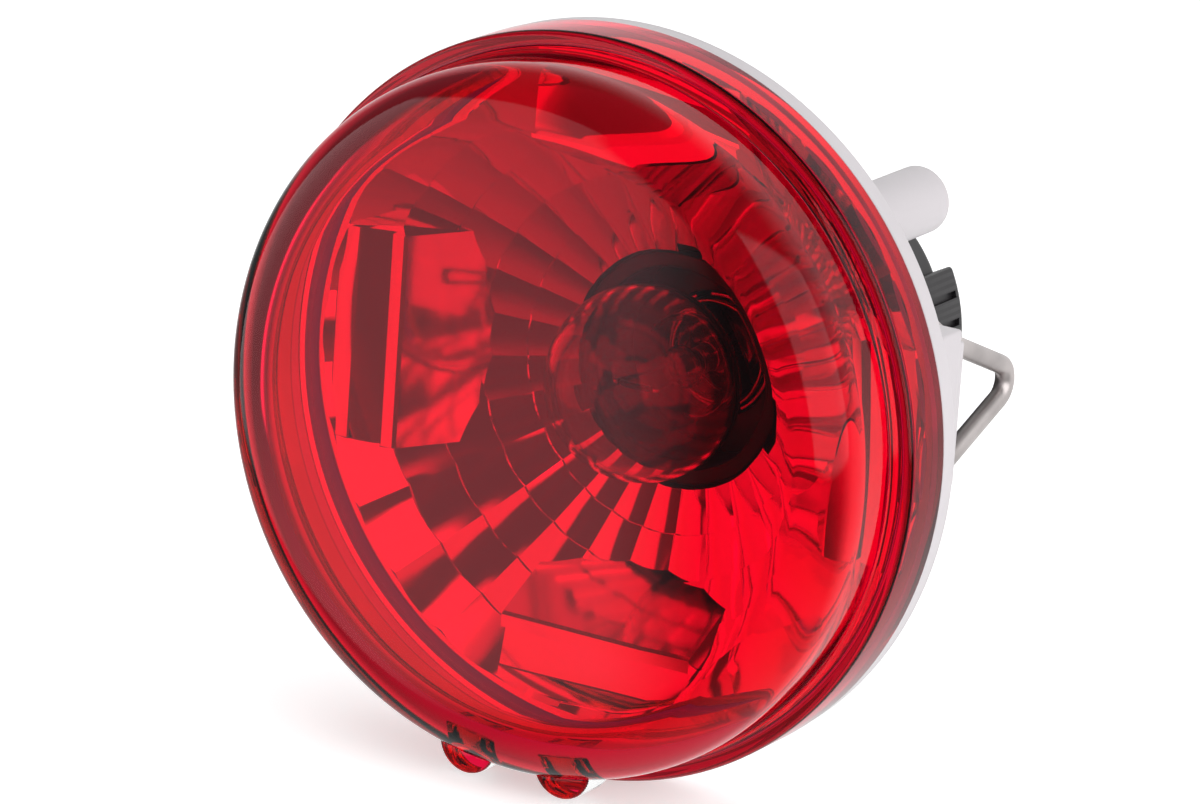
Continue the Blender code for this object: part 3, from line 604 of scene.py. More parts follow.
def make_lens():
    flat = CUP_RADIUS - CUP_SHOULDER
    inner_wall = CUP_RADIUS - CUP_WALL
    inner_corner = 7.0 * MM
    inner_flat = inner_wall - inner_corner
    step = SKIRT_FRONT - SKIRT_WALL
    neck, brow = 1.6 * MM, 1.0 * MM
    outer = crown(CUP_FRONT, 0.0, flat, 14)
    outer += arc((flat, CUP_FRONT - CUP_SHOULDER), CUP_SHOULDER, 87.4, 0, 16)[1:]
    outer += arc((CUP_RADIUS + neck, SKIRT_FRONT + neck), neck, 180, 270, 6)
    outer += arc((SKIRT_RADIUS - brow, SKIRT_FRONT - brow), brow, 90, 0, 6)
    outer += [(SKIRT_RADIUS, SKIRT_REAR + 0.15 * MM), (SKIRT_RADIUS - 0.15 * MM, SKIRT_REAR)]
    inner = [(SKIRT_RADIUS - SKIRT_WALL, SKIRT_REAR)]
    inner += arc((SKIRT_RADIUS - SKIRT_WALL - 0.5 * MM, step - 0.5 * MM), 0.5 * MM, 0, 60, 4)
    inner += [(inner_wall, step + CUP_WALL / 2)]
    inner += arc((inner_flat, CUP_FRONT - FACE_WALL - inner_corner), inner_corner, 0, 90, 12)
    inner += crown(CUP_FRONT - FACE_WALL, inner_flat, 0.0, 12)[1:]
    lens = turned("lens_shell", outer + inner, ROUND_STEPS, 40)
    root = CUP_RADIUS - CUP_WALL / 2
    lugs = []
    for side in (-1, 1):
        middle = 270 + side * LUG_SPREAD
        rear, front = (place(LUG_CENTRE, depth, middle) for depth in (LUG_REAR, LUG_FRONT))
        lug = bar("lug", LUG_RADIUS, rear, front, 0.45 * MM, 64)
        outside = root + 8 * MM
        room = [(root, 14 * MM), (outside, 14 * MM), (outside, 23 * MM), (root, 23 * MM)]
        lugs.append(carve(lug, [turned("lug_room", room)], "INTERSECT"))
    carve(lens, lugs, "UNION")
    settle(lens, "lamp", "red_lens", COATS["red_lens"], "lens")


def make_seals():
    for name, node_name, coat, inner, outer, rear, front in (
        ("lens_seal_ring", "lens_seal", "pale_rubber", 47.65, 48.65, 2.2, 3.1),
        ("holder_seal_ring", "holder_seal", "seal_rubber", 22.0, 23.6, -18.9, -17.8),
    ):
        corners = [(inner, rear), (outer, rear), (outer, front), (inner, front)]
        corners = [(r * MM, z * MM) for r, z in corners]
        ring = turned(name, rounded(corners, dict.fromkeys(range(4), 0.4 * MM), 5))
        settle(ring, "lamp", "seal_rubber", COATS[coat], node_name)


# ------------------------------------------------------------------ reflector

SECTORS = 28
RINGS = 5
ACROSS = 10
ALONG = 4
SIDE_BOW_INNER = 0.060  # a facet's bow across its sector at its inner and outer ends, as a share of its width
SIDE_BOW_OUTER = 0.085
LONG_BOW = 0.07 * MM
BOW_LEAN = 0.25  # how far the bow leans to one side at a facet's inner and outer ends
FACET_TILT = 0.07  # how much flatter a facet lies than the bowl, as a slope
TILT_SHARES = (0.4, 1.6)  # how much of it the rings have, turn about
THROAT_NOTCHES = ((86, 6.5), (-14, 14.0), (206, 6.5))


def facet_rise(ring, across, along):
    """How far a facet stands in front of the smooth bowl.

    It is bowed both ways and lies flatter than the bowl, so there is a step from each ring to the next.
    """
    length = (REFLECTOR_EDGE - THROAT) / RINGS
    radius = THROAT + length * (ring + 0.5)
    width = radius * TURN / SECTORS
    bow = width * (SIDE_BOW_INNER + (SIDE_BOW_OUTER - SIDE_BOW_INNER) * along)
    lean = 1 + BOW_LEAN * across * (2 * along - 1)
    tilt = FACET_TILT * TILT_SHARES[ring % 2] * length * (0.5 - along)
    return bow * lean * (1 - across**2) + LONG_BOW * 4 * along * (1 - along) + tilt


def make_sector():
    """One sector of the reflector, as a wedge of wall with its stepped facets in front."""
    sector = TURN / SECTORS
    ring_length = (REFLECTOR_EDGE - THROAT) / RINGS
    shape = bmesh.new()

    def row(radius, rise):
        spots = []
        for j in range(ACROSS + 1):
            across = 2 * j / ACROSS - 1
            angle = sector * across / 2
            depth = rise(across)
            spots.append(shape.verts.new((radius * math.cos(angle), -depth, radius * math.sin(angle))))
        return spots

    rows = []
    for ring in range(RINGS):
        for i in range(ALONG + 1):
            along = i / ALONG
            radius = THROAT + ring_length * (ring + along)
            rows.append(row(radius, lambda u: bright_side(radius) + facet_rise(ring, u, along)))
    edge = bright_side(REFLECTOR_EDGE)
    soft = 0.2 * MM
    rest = [(REFLECTOR_EDGE + soft, edge), (REFLECTOR_RIM - soft, edge), (REFLECTOR_RIM, edge - soft)]
    rest += [(REFLECTOR_RIM, RIM_FRONT - REFLECTOR_WALL - GAP)]
    rest += bowl_line(REFLECTOR_EDGE, THROAT, REFLECTOR_WALL, 12)
    rows += [row(radius, lambda u: depth) for radius, depth in rest]
    rows.append(rows[0])
    for first, second in zip(rows, rows[1:]):
        for j in range(ACROSS):
            shape.faces.new((first[j], first[j + 1], second[j + 1], second[j]))
    mesh = bpy.data.meshes.new("reflector_bowl")
    shape.to_mesh(mesh)
    shape.free()
    bowl = bpy.data.objects.new("reflector_bowl", mesh)
    bpy.context.scene.collection.objects.link(bowl)
    return bowl


def make_pad():
    """A seating pad at three o'clock: a sloped inner side, a narrow edge, a hollow band and a flat ledge."""
    half, foot = PAD_HALF, -14 * MM
    inner, outer = PAD_INNER - 3.6 * MM, PAD_OUTER - 0.7 * MM
    stations = [
        (inner - 8.6 * MM, foot), (inner - 0.1 * MM, PAD_FRONT - 0.5 * MM), (inner + 0.3 * MM, PAD_FRONT),
        (inner + 2.0 * MM, PAD_FRONT), (inner + 2.2 * MM, PAD_FRONT - 1.3 * MM),
        (inner + 7.2 * MM, PAD_FRONT - 0.25 * MM), (inner + 7.4 * MM, PAD_FRONT), (outer, PAD_FRONT),
        (outer + 0.3 * MM, PAD_FRONT - 0.3 * MM), (outer + 0.3 * MM, foot),
    ]
    shape = bmesh.new()
    ends = [[shape.verts.new((x, -depth, z)) for x, depth in stations] for z in (-half, half)]
    shape.faces.new(ends[0])
    shape.faces.new(list(reversed(ends[1])))
    count = len(stations)
    for i in range(count):
        j = (i + 1) % count
        shape.faces.new((ends[0][j], ends[0][i], ends[1][i], ends[1][j]))
    mesh = bpy.data.meshes.new("pad")
    shape.to_mesh(mesh)
    shape.free()
    pad = bpy.data.objects.new("pad", mesh)
    bpy.context.scene.collection.objects.link(pad)
    edit(pad)
    bpy.ops.mesh.normals_make_consistent(inside=False)
    done(pad, 9)
    room = bowl_line(REFLECTOR_EDGE, 0.0, REFLECTOR_WALL / 2, 16) + [(0.0, 4 * MM), (REFLECTOR_EDGE, 4 * MM)]
    return done(carve(pad, [turned("pad_room", room, 96)], "INTERSECT"), 9)


def make_reflector():
    """One sector of stepped facets repeated round the axis, with its pads and throat notches."""
    bowl = make_sector()
    edit(bowl)
    turned_by = TURN * (SECTORS - 1) / SECTORS
    bpy.ops.mesh.spin(steps=SECTORS - 1, dupli=True, angle=turned_by, center=CENTRE, axis=AXIS)
    bpy.ops.mesh.select_all(action="SELECT")
    bpy.ops.mesh.remove_doubles(threshold=WELD)
    bpy.ops.mesh.normals_make_consistent(inside=False)
    done(bowl, 9)
    pattern = make_pad()
    pads = [turned_copy(pattern, 90 * quarter) for quarter in range(4)]
    bpy.data.objects.remove(pattern, do_unlink=True)
    carve(bowl, pads, "UNION")
    notches = [
        slice_of_ring("notch", THROAT - 2 * MM, THROAT + 1.3 * MM, -20 * MM, -10 * MM, *notch)
        for notch in THROAT_NOTCHES
    ]
    carve(bowl, notches, "DIFFERENCE")
    done(bowl, 9)
    settle(bowl, "lamp", "bright_coating", COATS["bright_coating"], "reflector")


# ------------------------------------------------------------------ housing


def make_housing():
    rim = SKIRT_RADIUS - 0.2 * MM
    bowl_edge = REFLECTOR_RIM - 0.1 * MM
    fold = bowl_edge - 1.1 * MM
    collar = 27.0 * MM
    rib = SKIRT_RADIUS - SKIRT_WALL - 0.8 * MM
    seat = 0.1 * MM
    groove_inner, groove_outer, groove_floor = 47.35 * MM, 48.95 * MM, 1.9 * MM
    profile = [(rim, RIM_FRONT - 0.1 * MM), (rim, 0.5 * MM), (rim - 0.15 * MM, 0.15 * MM)]
    profile += [(rim - 0.5 * MM, 0.0), (bowl_edge + 0.5 * MM, 0.0), (bowl_edge, -0.35 * MM)]
    profile += bowl_line(fold, collar + 0.8 * MM, 5.4 * MM, 12)
    profile += [(collar + 0.1 * MM, -15.9 * MM), (collar, -16.5 * MM), (collar, COLLAR_REAR + 0.4 * MM)]
    profile += [(collar - 0.4 * MM, COLLAR_REAR), (COLLAR_BORE + 0.3 * MM, COLLAR_REAR)]
    profile += [(COLLAR_BORE, COLLAR_REAR + 0.3 * MM), (COLLAR_BORE, -14.94 * MM)]
    profile += bowl_line(collar - 2.2 * MM, fold, 3.2 * MM, 12)
    profile += [(fold, seat), (rib, seat), (rib, RIM_FRONT), (groove_inner, RIM_FRONT)]
    profile += [(groove_inner, groove_floor), (groove_outer, groove_floor), (groove_outer, RIM_FRONT)]
    housing = turned("housing_shell", profile, ROUND_STEPS, 30)
    added, cut = [], []
    for angle in POST_ANGLES:
        root, foot_end, bore_end, tip, past = (
            place(POST_CIRCLE, depth * MM, angle) for depth in (-5.0, -13.2, -20.0, -30.0, -31.0)
        )
        added.append(bar("post", POST_RADIUS, root, tip, 0.35 * MM, 96))
        added.append(bar("post_foot", POST_RADIUS + 1.1 * MM, root, foot_end, 0.8 * MM, 96))
        cut.append(bar("post_bore", INSERT_BORE, bore_end, past))
    ear_end = CLIP_HEIGHT - WIRE_RADIUS - 1.8 * MM
    pivot, buried = -22 * MM, 8.5 * MM
    for side in (-1, 1):
        near, far = sorted((side * 24.0 * MM, side * 28.4 * MM))
        added.append(slab("ear", (-25.5 * MM, buried, near), (-18.5 * MM, -ear_end, far), 0.5 * MM))
        inside = Vector((pivot, -CLIP_HEIGHT, side * 23 * MM))
        outside = Vector((pivot, -CLIP_HEIGHT, side * 28.1 * MM))
        cut.append(bar("ear_bore", WIRE_RADIUS + GAP, inside, outside))
    rest = -(CLIP_HEIGHT + WIRE_RADIUS + GAP)
    wide, narrow = 11.8 * MM, 9.8 * MM
    added.append(slab("clip_rest", (31.4 * MM, buried, -wide), (37.6 * MM, rest, wide), 0.45 * MM))
    low_stop, high_stop = (35.6 * MM, rest - 1.4 * MM, -narrow), (37.2 * MM, -CLIP_HEIGHT, narrow)
    added.append(slab("clip_stop", low_stop, high_stop, 0.4 * MM))
    carve(housing, added, "UNION")
    room = bowl_line(fold, collar - 2.2 * MM, 3.2 * MM, 12)
    past_rear, past_front = -20 * MM, 6 * MM
    room += [(COLLAR_BORE, room[-1][1]), (COLLAR_BORE, past_rear)]
    room += [(0.0, past_rear), (0.0, past_front), (fold, past_front)]
    cut.append(turned("bowl_room", room, ROUND_STEPS))
    carve(housing, cut, "DIFFERENCE")
    done(housing, 30)
    settle(housing, "lamp", "pale_plastic", COATS["pale_plastic"], "housing")


def make_inserts():
    """A threaded insert is turned once and copied to each post."""
    rear, front = -29.8 * MM, -20.3 * MM
    wall, bore, pitch, cut = 3.2 * MM, 2.5 * MM, 0.8 * MM, 0.28 * MM
    thread = [(bore + 0.35 * MM, rear), (bore, rear + 0.35 * MM)]
    turns = 10
    for i in range(turns):
        low = rear + 0.6 * MM + i * pitch
        thread += [(bore, low), (bore + cut, low + pitch * 0.4), (bore, low + pitch * 0.8)]
    thread += [(bore, front)]
    profile = thread + [(wall, front), (wall, rear + 0.3 * MM), (wall - 0.3 * MM, rear)]
    pattern = turned("insert", profile, SMALL_STEPS, 30)
    for number, angle in enumerate(POST_ANGLES, 1):
        insert = pattern.copy()
        insert.data = pattern.data.copy()
        insert.name = insert.data.name = f"brass_insert_{number}"
        bpy.context.scene.collection.objects.link(insert)
        spot = place(POST_CIRCLE, 0.0, angle)
        insert.data.transform(Matrix.Translation(spot))
        settle(insert, "lamp", "insert_brass", COATS["insert_brass"], f"post_insert_{number}")
    bpy.data.objects.remove(pattern, do_unlink=True)


# ------------------------------------------------------------------ bulb holder


def make_holder():
    stations = [
        (13.6, -14.9), (15.8, -14.9), (15.8, -17.0), (20.5, -17.0), (20.5, -17.8), (21.7, -17.8),
        (21.7, -19.2), (23.9, -19.2), (23.9, -17.8), (25.0, -17.8), (25.0, -20.8), (18.3, -20.8),
        (18.3, -52.0), (7.6, -52.0), (7.6, -53.5), (0.0, -53.5),
    ]
    inner = [(0.0, -51.2), (7.6, -51.2), (7.6, -45.0), (8.7, -45.0), (8.7, -25.0), (13.6, -25.0)]
    profile = [(r * MM, z * MM) for r, z in stations + inner]
    radii = {0: 0.4 * MM, 1: 0.4 * MM, 9: 0.4 * MM, 10: 0.6 * MM, 11: 0.8 * MM, 12: 1.2 * MM}
    holder = turned("holder_shell", rounded(profile, radii, 5), 144, 30)
    outside, rear, front = 21.4 * MM, -51.6 * MM, -30.0 * MM
    middle, half, close = -2.5, 30.5, 0.1
    lug = slice_of_ring("grip", 16.3 * MM, outside, rear, front, middle, half, 24)
    edit(lug)
    bpy.ops.mesh.select_all(action="DESELECT")
    bpy.ops.object.mode_set(mode="OBJECT")
    for edge in lug.data.edges:
        ends = [lug.data.vertices[v].co for v in edge.vertices]
        outer = all(math.hypot(c.x, c.z) > outside - close * MM for c in ends)
        rim = outer and all(abs(c.y + front) < WELD or abs(c.y + rear) < WELD for c in ends)
        straight = abs(ends[0].y - ends[1].y) > 10 * MM
        angles = [math.degrees(math.atan2(c.z, c.x)) for c in ends]
        last, first = middle + half - close, middle - half + close
        side = outer and straight and (min(angles) > last or max(angles) < first)
        edge.select = (rim and not straight) or side
    bpy.ops.object.mode_set(mode="EDIT")
    bpy.ops.mesh.bevel(offset=0.7 * MM, segments=4, affect="EDGES")
    done(lug)
    shroud = slab("shroud", (-10.1 * MM, 52.5 * MM, -6.0 * MM), (12.7 * MM, 60.0 * MM, 6.0 * MM), 0.8 * MM, 4)
    carve(holder, [lug, shroud], "UNION")
    pocket = slab("pocket", (-8.6 * MM, 53.5 * MM, -4.5 * MM), (11.2 * MM, 62.0 * MM, 4.5 * MM), 0.5 * MM, 3)
    room = slab("pocket_mouth", (-8.6 * MM, 54.5 * MM, -4.5 * MM), (11.2 * MM, 62.0 * MM, 4.5 * MM))
    earth = slab("earth_way", (7.8 * MM, 36.7 * MM, -2.8 * MM), (9.8 * MM, 54.5 * MM, 2.8 * MM))
    live = slab("live_way", (-6.7 * MM, 50.2 * MM, -3.45 * MM), (-5.3 * MM, 54.5 * MM, 3.45 * MM))
    stem = bar("stem_way", 1.65 * MM, (0, 50.2 * MM, 0), (0, 54.5 * MM, 0))
    slots = [
        slice_of_ring("grip_slot", 20.7 * MM, 23 * MM, -50.4 * MM, -32.5 * MM, angle, 1.3, 4)
        for angle in (-22, -12, -2, 8, 18)
    ]
    carve(holder, [pocket, room, earth, live, stem] + slots, "DIFFERENCE")
    done(holder, 30)
    settle(holder, "lamp", "black_plastic", COATS["black_plastic"], "holder_body")


def make_socket():
    sleeve = turned("bayonet_sleeve", rounded(
        [(8.4 * MM, -44.7 * MM), (8.4 * MM, -25.3 * MM), (7.8 * MM, -25.3 * MM), (7.8 * MM, -44.7 * MM)],
        {1: 0.2 * MM, 2: 0.2 * MM}, 3), 144)
    lean = 9.6
    way = (6.8 * MM, 9.4 * MM, -37.8 * MM, -33.7 * MM)
    entry = (6.7 * MM, 9.5 * MM, -35.75 * MM, -24.0 * MM)
    cuts = []
    for start in (90, 270):
        cuts.append(slice_of_ring("pin_way", *way, start + 10, 10 + lean, 16))
        cuts.append(slice_of_ring("pin_entry", *entry, start + 20, lean, 10))
    carve(sleeve, cuts, "DIFFERENCE")
    settle(sleeve, "lamp", "plated_steel", COATS["plated_steel"], "socket_sleeve")
    plunger = turned("contact_button", rounded(
        [(0.0, -43.7 * MM), (2.4 * MM, -43.7 * MM), (2.4 * MM, -44.6 * MM), (1.2 * MM, -44.6 * MM),
         (1.2 * MM, -49.5 * MM), (0.0, -49.5 * MM)], {1: 0.3 * MM, 2: 0.2 * MM, 4: 0.3 * MM}), SMALL_STEPS)
    settle(plunger, "contact_carrier", "tinned_brass", COATS["tinned_brass"], "contact_plunger")
    disc = turned("insulating_disc", rounded(
        [(7.3 * MM, -46.1 * MM), (7.3 * MM, -44.9 * MM), (1.5 * MM, -44.9 * MM), (1.5 * MM, -46.1 * MM)],
        {0: 0.15 * MM, 1: 0.15 * MM}), SMALL_STEPS)
    settle(disc, "contact_carrier", "brown_board", COATS["brown_board"], "insulator_disc")
    low, high = spans("contact_spring")[1:]
    steel, coil_radius = 0.35 * MM, 3.25 * MM
    turns, count, flat_end = 3, 120, 0.08
    coil = []
    for i in range(count + 1):
        share = i / count
        rise = min(max((share - flat_end) / (1 - 2 * flat_end), 0.0), 1.0)
        coil.append(place(coil_radius, low + steel + (high - low - 2 * steel) * rise, 360 * turns * share))
    spring = wire("push_spring", coil, steel, 4)
    settle(spring, "lamp", "spring_steel", COATS["spring_steel"], "contact_spring")
    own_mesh(spring)


def make_terminals():
    """Tinned strips with their corners broken; the live one has the spring's foot."""
    live = slab("strip", (-6.4 * MM, 50.3 * MM, -3.15 * MM), (-5.6 * MM, 59.2 * MM, 3.15 * MM), 0.15 * MM)
    foot = slab("foot", (-6.3 * MM, 50.32 * MM, -3.05 * MM), (3.6 * MM, 50.88 * MM, 3.05 * MM), 0.1 * MM)
    carve(live, [foot], "UNION")
    carve(live, [bar("hole", 1.65 * MM, (0, 49 * MM, 0), (0, 52 * MM, 0))], "DIFFERENCE")
    live.name = live.data.name = "live_blade"
    settle(live, "lamp", "tinned_brass", COATS["tinned_brass"], "terminal_live")
    earth = slab("earth_blade", (8.7 * MM, 37.0 * MM, -2.5 * MM), (9.5 * MM, 59.2 * MM, 2.5 * MM), 0.2 * MM)
    settle(earth, "lamp", "tinned_brass", COATS["tinned_brass"], "terminal_earth")


# ------------------------------------------------------------------ bulb


def make_bulb():
    neck, wall, glass_end = 6.9 * MM, 0.7 * MM, -28.5 * MM
    inner = GLOBE_RADIUS - wall
    outer_end = -math.degrees(math.acos(neck / GLOBE_RADIUS))
    inner_end = -math.degrees(math.acos((neck - wall) / inner))
    globe = [(max(r, 0.0), z) for r, z in arc((0, GLOBE_CENTRE), GLOBE_RADIUS, 90, outer_end, 40)]
    globe[0] = (0.0, globe[0][1])
    globe += [(neck, glass_end + 0.2 * MM), (neck - wall / 2, glass_end), (neck - wall, glass_end + 0.2 * MM)]
    hollow = arc((0, GLOBE_CENTRE), inner, inner_end, 90, 40)
    hollow[-1] = (0.0, hollow[-1][1])
    glass = turned("bulb_envelope", globe + hollow, 144, 60)
    settle(glass, "bulb", "bulb_glass", COATS["bulb_glass"], "bulb_glass")

    bead = [(0.0, -14.5), (2.2, -14.6), (2.9, -15.0), (3.0, -15.6), (2.6, -16.2), (1.9, -17.2), (1.8, -18.5),
            (2.0, -21.5), (2.5, -24.0), (3.6, -26.3), (5.4, -27.6), (5.9, -28.2), (5.9, -29.2), (0.0, -29.2)]
    stem = turned("glass_mount", [(r * MM, z * MM) for r, z in bead], SMALL_STEPS, 60)
    settle(stem, "bulb", "bulb_glass", COATS["bulb_glass"], "glass_stem")

    tip_height, half = -4.0 * MM, 2.6 * MM
    for name, node_name, side in (("live_lead", "lead_live", -1), ("earth_lead", "lead_earth", 1)):
        foot, bend = Vector((side * 2.0 * MM, 14.2 * MM, 0)), Vector((side * 2.3 * MM, 9.0 * MM, 0))
        top = Vector((side * (half + 0.6 * MM), 3.9 * MM, 0))
        hook = Vector((side * (half + 0.1 * MM), 3.55 * MM, 0))
        lead = wire(name, swept_corners([foot, bend, top, hook], [4 * MM, 0.35 * MM], 6), 0.26 * MM, 4)
        settle(lead, "bulb", "plated_steel", COATS["plated_steel"], node_name)

    turns, count = 16, 16 * 12
    coil_radius = 0.33 * MM
    coil = [Vector((-half, -tip_height, 0))]
    for i in range(count + 1):
        angle = TURN * turns * i / count
        along = -half * 0.9 + 1.8 * half * i / count
        lift = 0.35 * MM * math.sin(math.pi * i / count)
        up, out = coil_radius * math.cos(angle), coil_radius * math.sin(angle)
        coil.append(Vector((along, -tip_height - lift + up, out)))
    coil.append(Vector((half, -tip_height, 0)))
    filament = wire("coiled_filament", coil, 0.09 * MM, 2)
    settle(filament, "bulb", "tungsten", COATS["tungsten"], "filament")

    cap_wall = 0.3 * MM
    cap_inner = CAP_RADIUS - cap_wall
    edge = CAP_FRONT
    groove = CAP_RADIUS - 0.12 * MM
    cap = [(CAP_RADIUS, CAP_REAR + 0.5 * MM), (CAP_RADIUS, edge - 2.2 * MM)]
    cap += [(groove, edge - 2.0 * MM), (groove, edge - 1.4 * MM)]
    cap += [(CAP_RADIUS, edge - 1.2 * MM), (CAP_RADIUS, edge - 0.2 * MM), (CAP_RADIUS - 0.1 * MM, edge)]
    cap += [(cap_inner, edge), (cap_inner, CAP_REAR), (CAP_RADIUS - 0.2 * MM, CAP_REAR)]
    shell = turned("bayonet_cap", cap, 144, 30)
    settle(shell, "bulb", "cap_brass", COATS["cap_brass"], "bulb_cap")
    for name, node_name, side in (("bayonet_pin_a", "bulb_pin_a", 1), ("bayonet_pin_b", "bulb_pin_b", -1)):
        pin = bar(name, 1.0 * MM, (0, 35 * MM, side * 7.55 * MM), (0, 35 * MM, side * 8.5 * MM), 0.3 * MM)
        settle(pin, "bulb", "cap_brass", COATS["cap_brass"], node_name)

    base = [(0.0, -39.0), (7.1, -39.0), (7.1, -41.0), (6.6, -41.3), (4.2, -42.5), (3.2, -42.8), (0.0, -42.8)]
    plug = turned("glass_base", [(r * MM, z * MM) for r, z in base], SMALL_STEPS, 30)
    settle(plug, "bulb", "black_glass", COATS["black_glass"], "bulb_insulator")
    blob = [(0.0, -42.9), (2.2, -42.9), (2.15, -43.1), (1.8, -43.3), (1.1, -43.39), (0.0, -43.4)]
    contact = turned("solder_contact", [(r * MM, z * MM) for r, z in blob], SMALL_STEPS, 60)
    settle(contact, "bulb", "solder", COATS["solder"], "bulb_contact")


# ------------------------------------------------------------------ clip


def make_clip():
    """The bent round wire, its two ends in the housing's ears."""
    def spot(x, z, depth=CLIP_HEIGHT):
        return Vector((x * MM, -depth, z * MM))

    half = [spot(-22.0, 27.5), spot(-22.0, 21.8), spot(14.0, 21.8), spot(34.0, 9.2)]
    nose = spot(34.0, 0.0, CLIP_HEIGHT - 22.0 * MM)
    mirrored = [Vector((p.x, p.y, -p.z)) for p in reversed(half)]
    bends = [1.6, 4.0, 2.6, 2.6, 2.6, 4.0, 1.6]
    path = swept_corners(half + [nose] + mirrored, [b * MM for b in bends], 12)
    clip = wire("wire_clip", path, WIRE_RADIUS, 10)
    settle(clip, "clip", "clip_steel", COATS["clip_steel"], "clip_wire")


# ------------------------------------------------------------------ light, floor and camera

CAMERA_AZIMUTH = math.radians(31.69)
CAMERA_ELEVATION = math.radians(14.61)
CAMERA_ROLL = math.radians(4.5)
CAMERA_DISTANCE = 0.977
AMBIENT = 0.18  # how bright the surroundings are in front and above
SOFT_EDGE = 0.07  # the share of a light's side over which it fades
ROLL = Matrix.Rotation(-CAMERA_ROLL, 4, "Y")


def heading(azimuth, elevation):
    """The direction at an azimuth from straight ahead (-Y) towards +X, and an elevation, in degrees."""
    a, e = math.radians(azimuth), math.radians(elevation)
    return Vector((math.sin(a) * math.cos(e), -math.cos(a) * math.cos(e), math.sin(e)))


def make_camera():
    back = heading(math.degrees(CAMERA_AZIMUTH), math.degrees(CAMERA_ELEVATION))
    data = bpy.data.cameras.new("camera")
    camera = bpy.data.objects.new("camera", data)
    bpy.context.scene.collection.objects.link(camera)
    upright = (-back).to_track_quat("-Z", "Y").to_matrix().to_4x4()
    camera.matrix_world = ROLL @ Matrix.Translation(back * CAMERA_DISTANCE) @ upright
    data.sensor_width = 36.0
    data.lens = 226.8
    data.shift_x, data.shift_y = -0.0202, -0.0094
    data.clip_start, data.clip_end = 0.05, 20.0
    bpy.context.scene.camera = camera


def fade_edges(data):
    """Makes a light's face fade over the outer part of each side, as a softbox's cloth does."""
    data.use_nodes = True
    tree = data.node_tree
    spot = node(tree, "ShaderNodeNewGeometry").outputs["Parametric"]
    split = node(tree, "ShaderNodeSeparateXYZ", [("Vector", spot)])
    total = None
    for side in ("X", "Y"):
        for start, full in ((0.0, SOFT_EDGE), (1.0, 1.0 - SOFT_EDGE)):
            ramp = node(
                tree, "ShaderNodeMapRange", [("Value", split.outputs[side])],
                interpolation_type="SMOOTHSTEP", From_Min=start, From_Max=full,
            )
            if total is None:
                total = ramp.outputs["Result"]
            else:
                total = node(tree, "ShaderNodeMath", [(0, total), (1, ramp.outputs["Result"])],
                             operation="MULTIPLY").outputs[0]
    tree.links.new(total, tree.nodes["Emission"].inputs["Strength"])


def softbox(name, middle, across, up, distance, radiance, lean=0.0, mirrored=True):
    """A square light facing the lamp.

    middle is its (azimuth, elevation) in degrees, and across and up are its angles as the lamp sees them.
    """
    out = heading(*middle)
    width = 2 * distance * math.tan(math.radians(across / 2))
    height = 2 * distance * math.tan(math.radians(up / 2))
    data = bpy.data.lights.new(name, "AREA")
    data.shape = "RECTANGLE"
    data.size, data.size_y = width, height
    data.energy = radiance * math.pi * width * height
    fade_edges(data)
    light = bpy.data.objects.new(name, data)
    bpy.context.scene.collection.objects.link(light)
    aim = out.to_track_quat("Z", "Y").to_matrix().to_4x4()
    leaning = Matrix.Rotation(math.radians(lean), 4, "Z")
    light.matrix_world = Matrix.Translation(out * distance) @ aim @ leaning
    light.visible_camera = False
    light.visible_glossy = mirrored
    return light


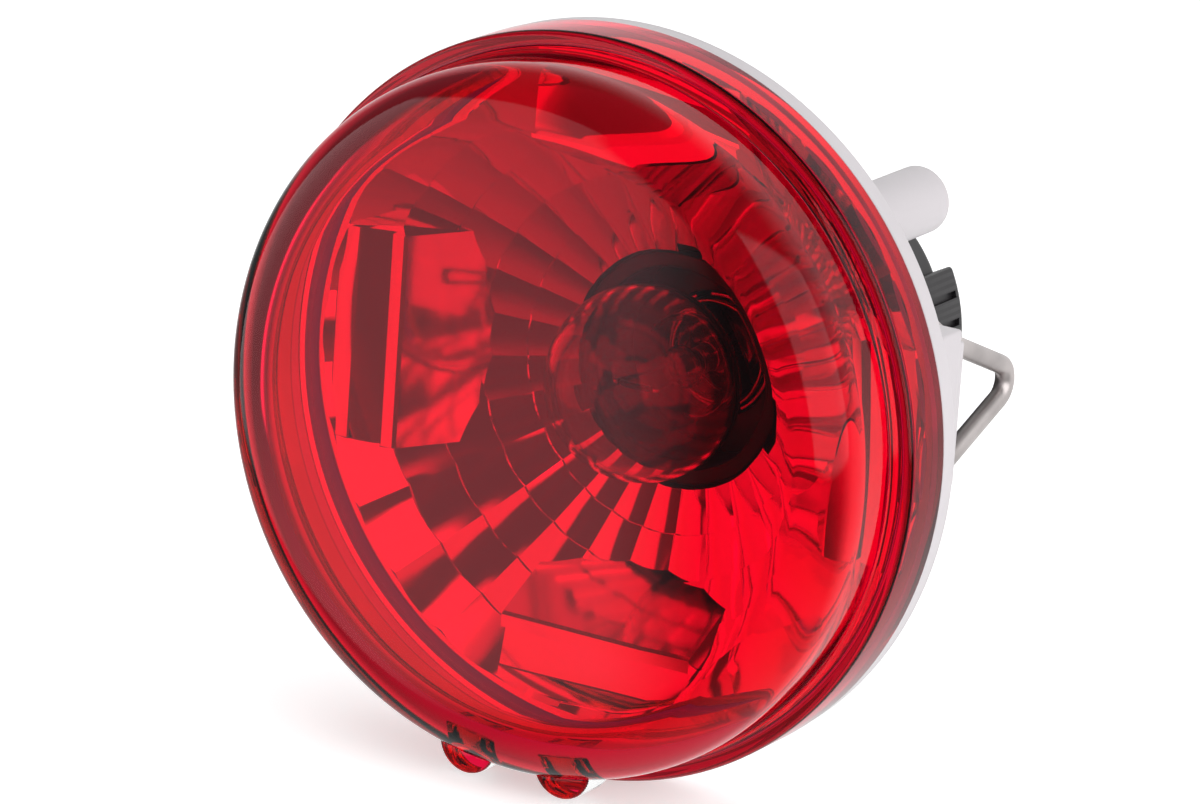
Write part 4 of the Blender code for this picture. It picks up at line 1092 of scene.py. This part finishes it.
def make_world():
    """White behind the lamp and below it, dim in front, and plain white behind everything in view."""
    world = bpy.data.worlds.new("studio")
    bpy.context.scene.world = world
    world.use_nodes = True
    tree = world.node_tree
    around = tree.nodes["Background"]
    way = node(tree, "ShaderNodeTexCoord").outputs["Generated"]
    split = node(tree, "ShaderNodeSeparateXYZ", [("Vector", way)])
    rearward = node(tree, "ShaderNodeVectorMath", [(0, way)], operation="DOT_PRODUCT")
    rearward.inputs[1].default_value = (0.25, 0.97, 0.0)
    behind = node(tree, "ShaderNodeMapRange", [("Value", rearward.outputs["Value"])],
                  From_Min=0.20, From_Max=0.65, To_Min=AMBIENT, To_Max=1.0)
    below = node(tree, "ShaderNodeMapRange", [("Value", split.outputs["Z"])],
                 From_Min=-0.30, From_Max=-0.95, To_Min=AMBIENT, To_Max=0.72)
    most = node(tree, "ShaderNodeMath", [(0, behind.outputs["Result"]), (1, below.outputs["Result"])],
                operation="MAXIMUM")
    tree.links.new(most.outputs[0], around.inputs["Strength"])
    around.inputs["Color"].default_value = (1, 1, 1, 1)
    seen = node(tree, "ShaderNodeBackground", Color=(1, 1, 1, 1), Strength=1.0)
    path = node(tree, "ShaderNodeLightPath")
    mixed = node(tree, "ShaderNodeMixShader", [(0, path.outputs["Is Camera Ray"])])
    tree.links.new(around.outputs["Background"], mixed.inputs[1])
    tree.links.new(seen.outputs["Background"], mixed.inputs[2])
    tree.links.new(mixed.outputs["Shader"], tree.nodes["World Output"].inputs["Surface"])


def make_floor():
    deselect_all()
    under = (0, 0, cad_low.z - 0.05 * MM)
    bpy.ops.mesh.primitive_circle_add(vertices=96, radius=4.0, fill_type="NGON", location=under)
    floor = bpy.context.object
    floor.name = floor.data.name = "floor"
    pale = bpy.data.materials.new("pale_floor")
    pale.use_nodes = True
    shader = pale.node_tree.nodes["Principled BSDF"]
    shader.inputs["Base Color"].default_value = (0.92, 0.92, 0.92, 1)
    shader.inputs["Roughness"].default_value = 0.9
    shader.inputs["Specular IOR Level"].default_value = 0.0
    shader.inputs["Emission Color"].default_value = (1, 1, 1, 1)
    shader.inputs["Emission Strength"].default_value = 0.5
    floor.data.materials.append(pale)
    floor.visible_glossy = False
    floor.visible_transmission = False


def make_stage():
    bpy.context.scene.view_settings.view_transform = "Standard"
    make_world()
    make_floor()
    softbox("left_side", (-55, 3), across=66, up=60, distance=0.9, radiance=1.45, lean=-5)
    key = softbox("upper_front", (-27, 36), across=42, up=28, distance=0.9, radiance=1.3, mirrored=False)
    key.visible_diffuse = False
    softbox("right_side", (66, 19), across=80, up=60, distance=0.9, radiance=1.9, lean=4)
    softbox("overhead", (20, 75), across=60, up=60, distance=1.6, radiance=1.0, mirrored=False)


make_lens()
make_seals()
make_reflector()
make_housing()
make_inserts()
make_holder()
make_socket()
make_terminals()
make_bulb()
make_clip()
make_camera()
make_stage()
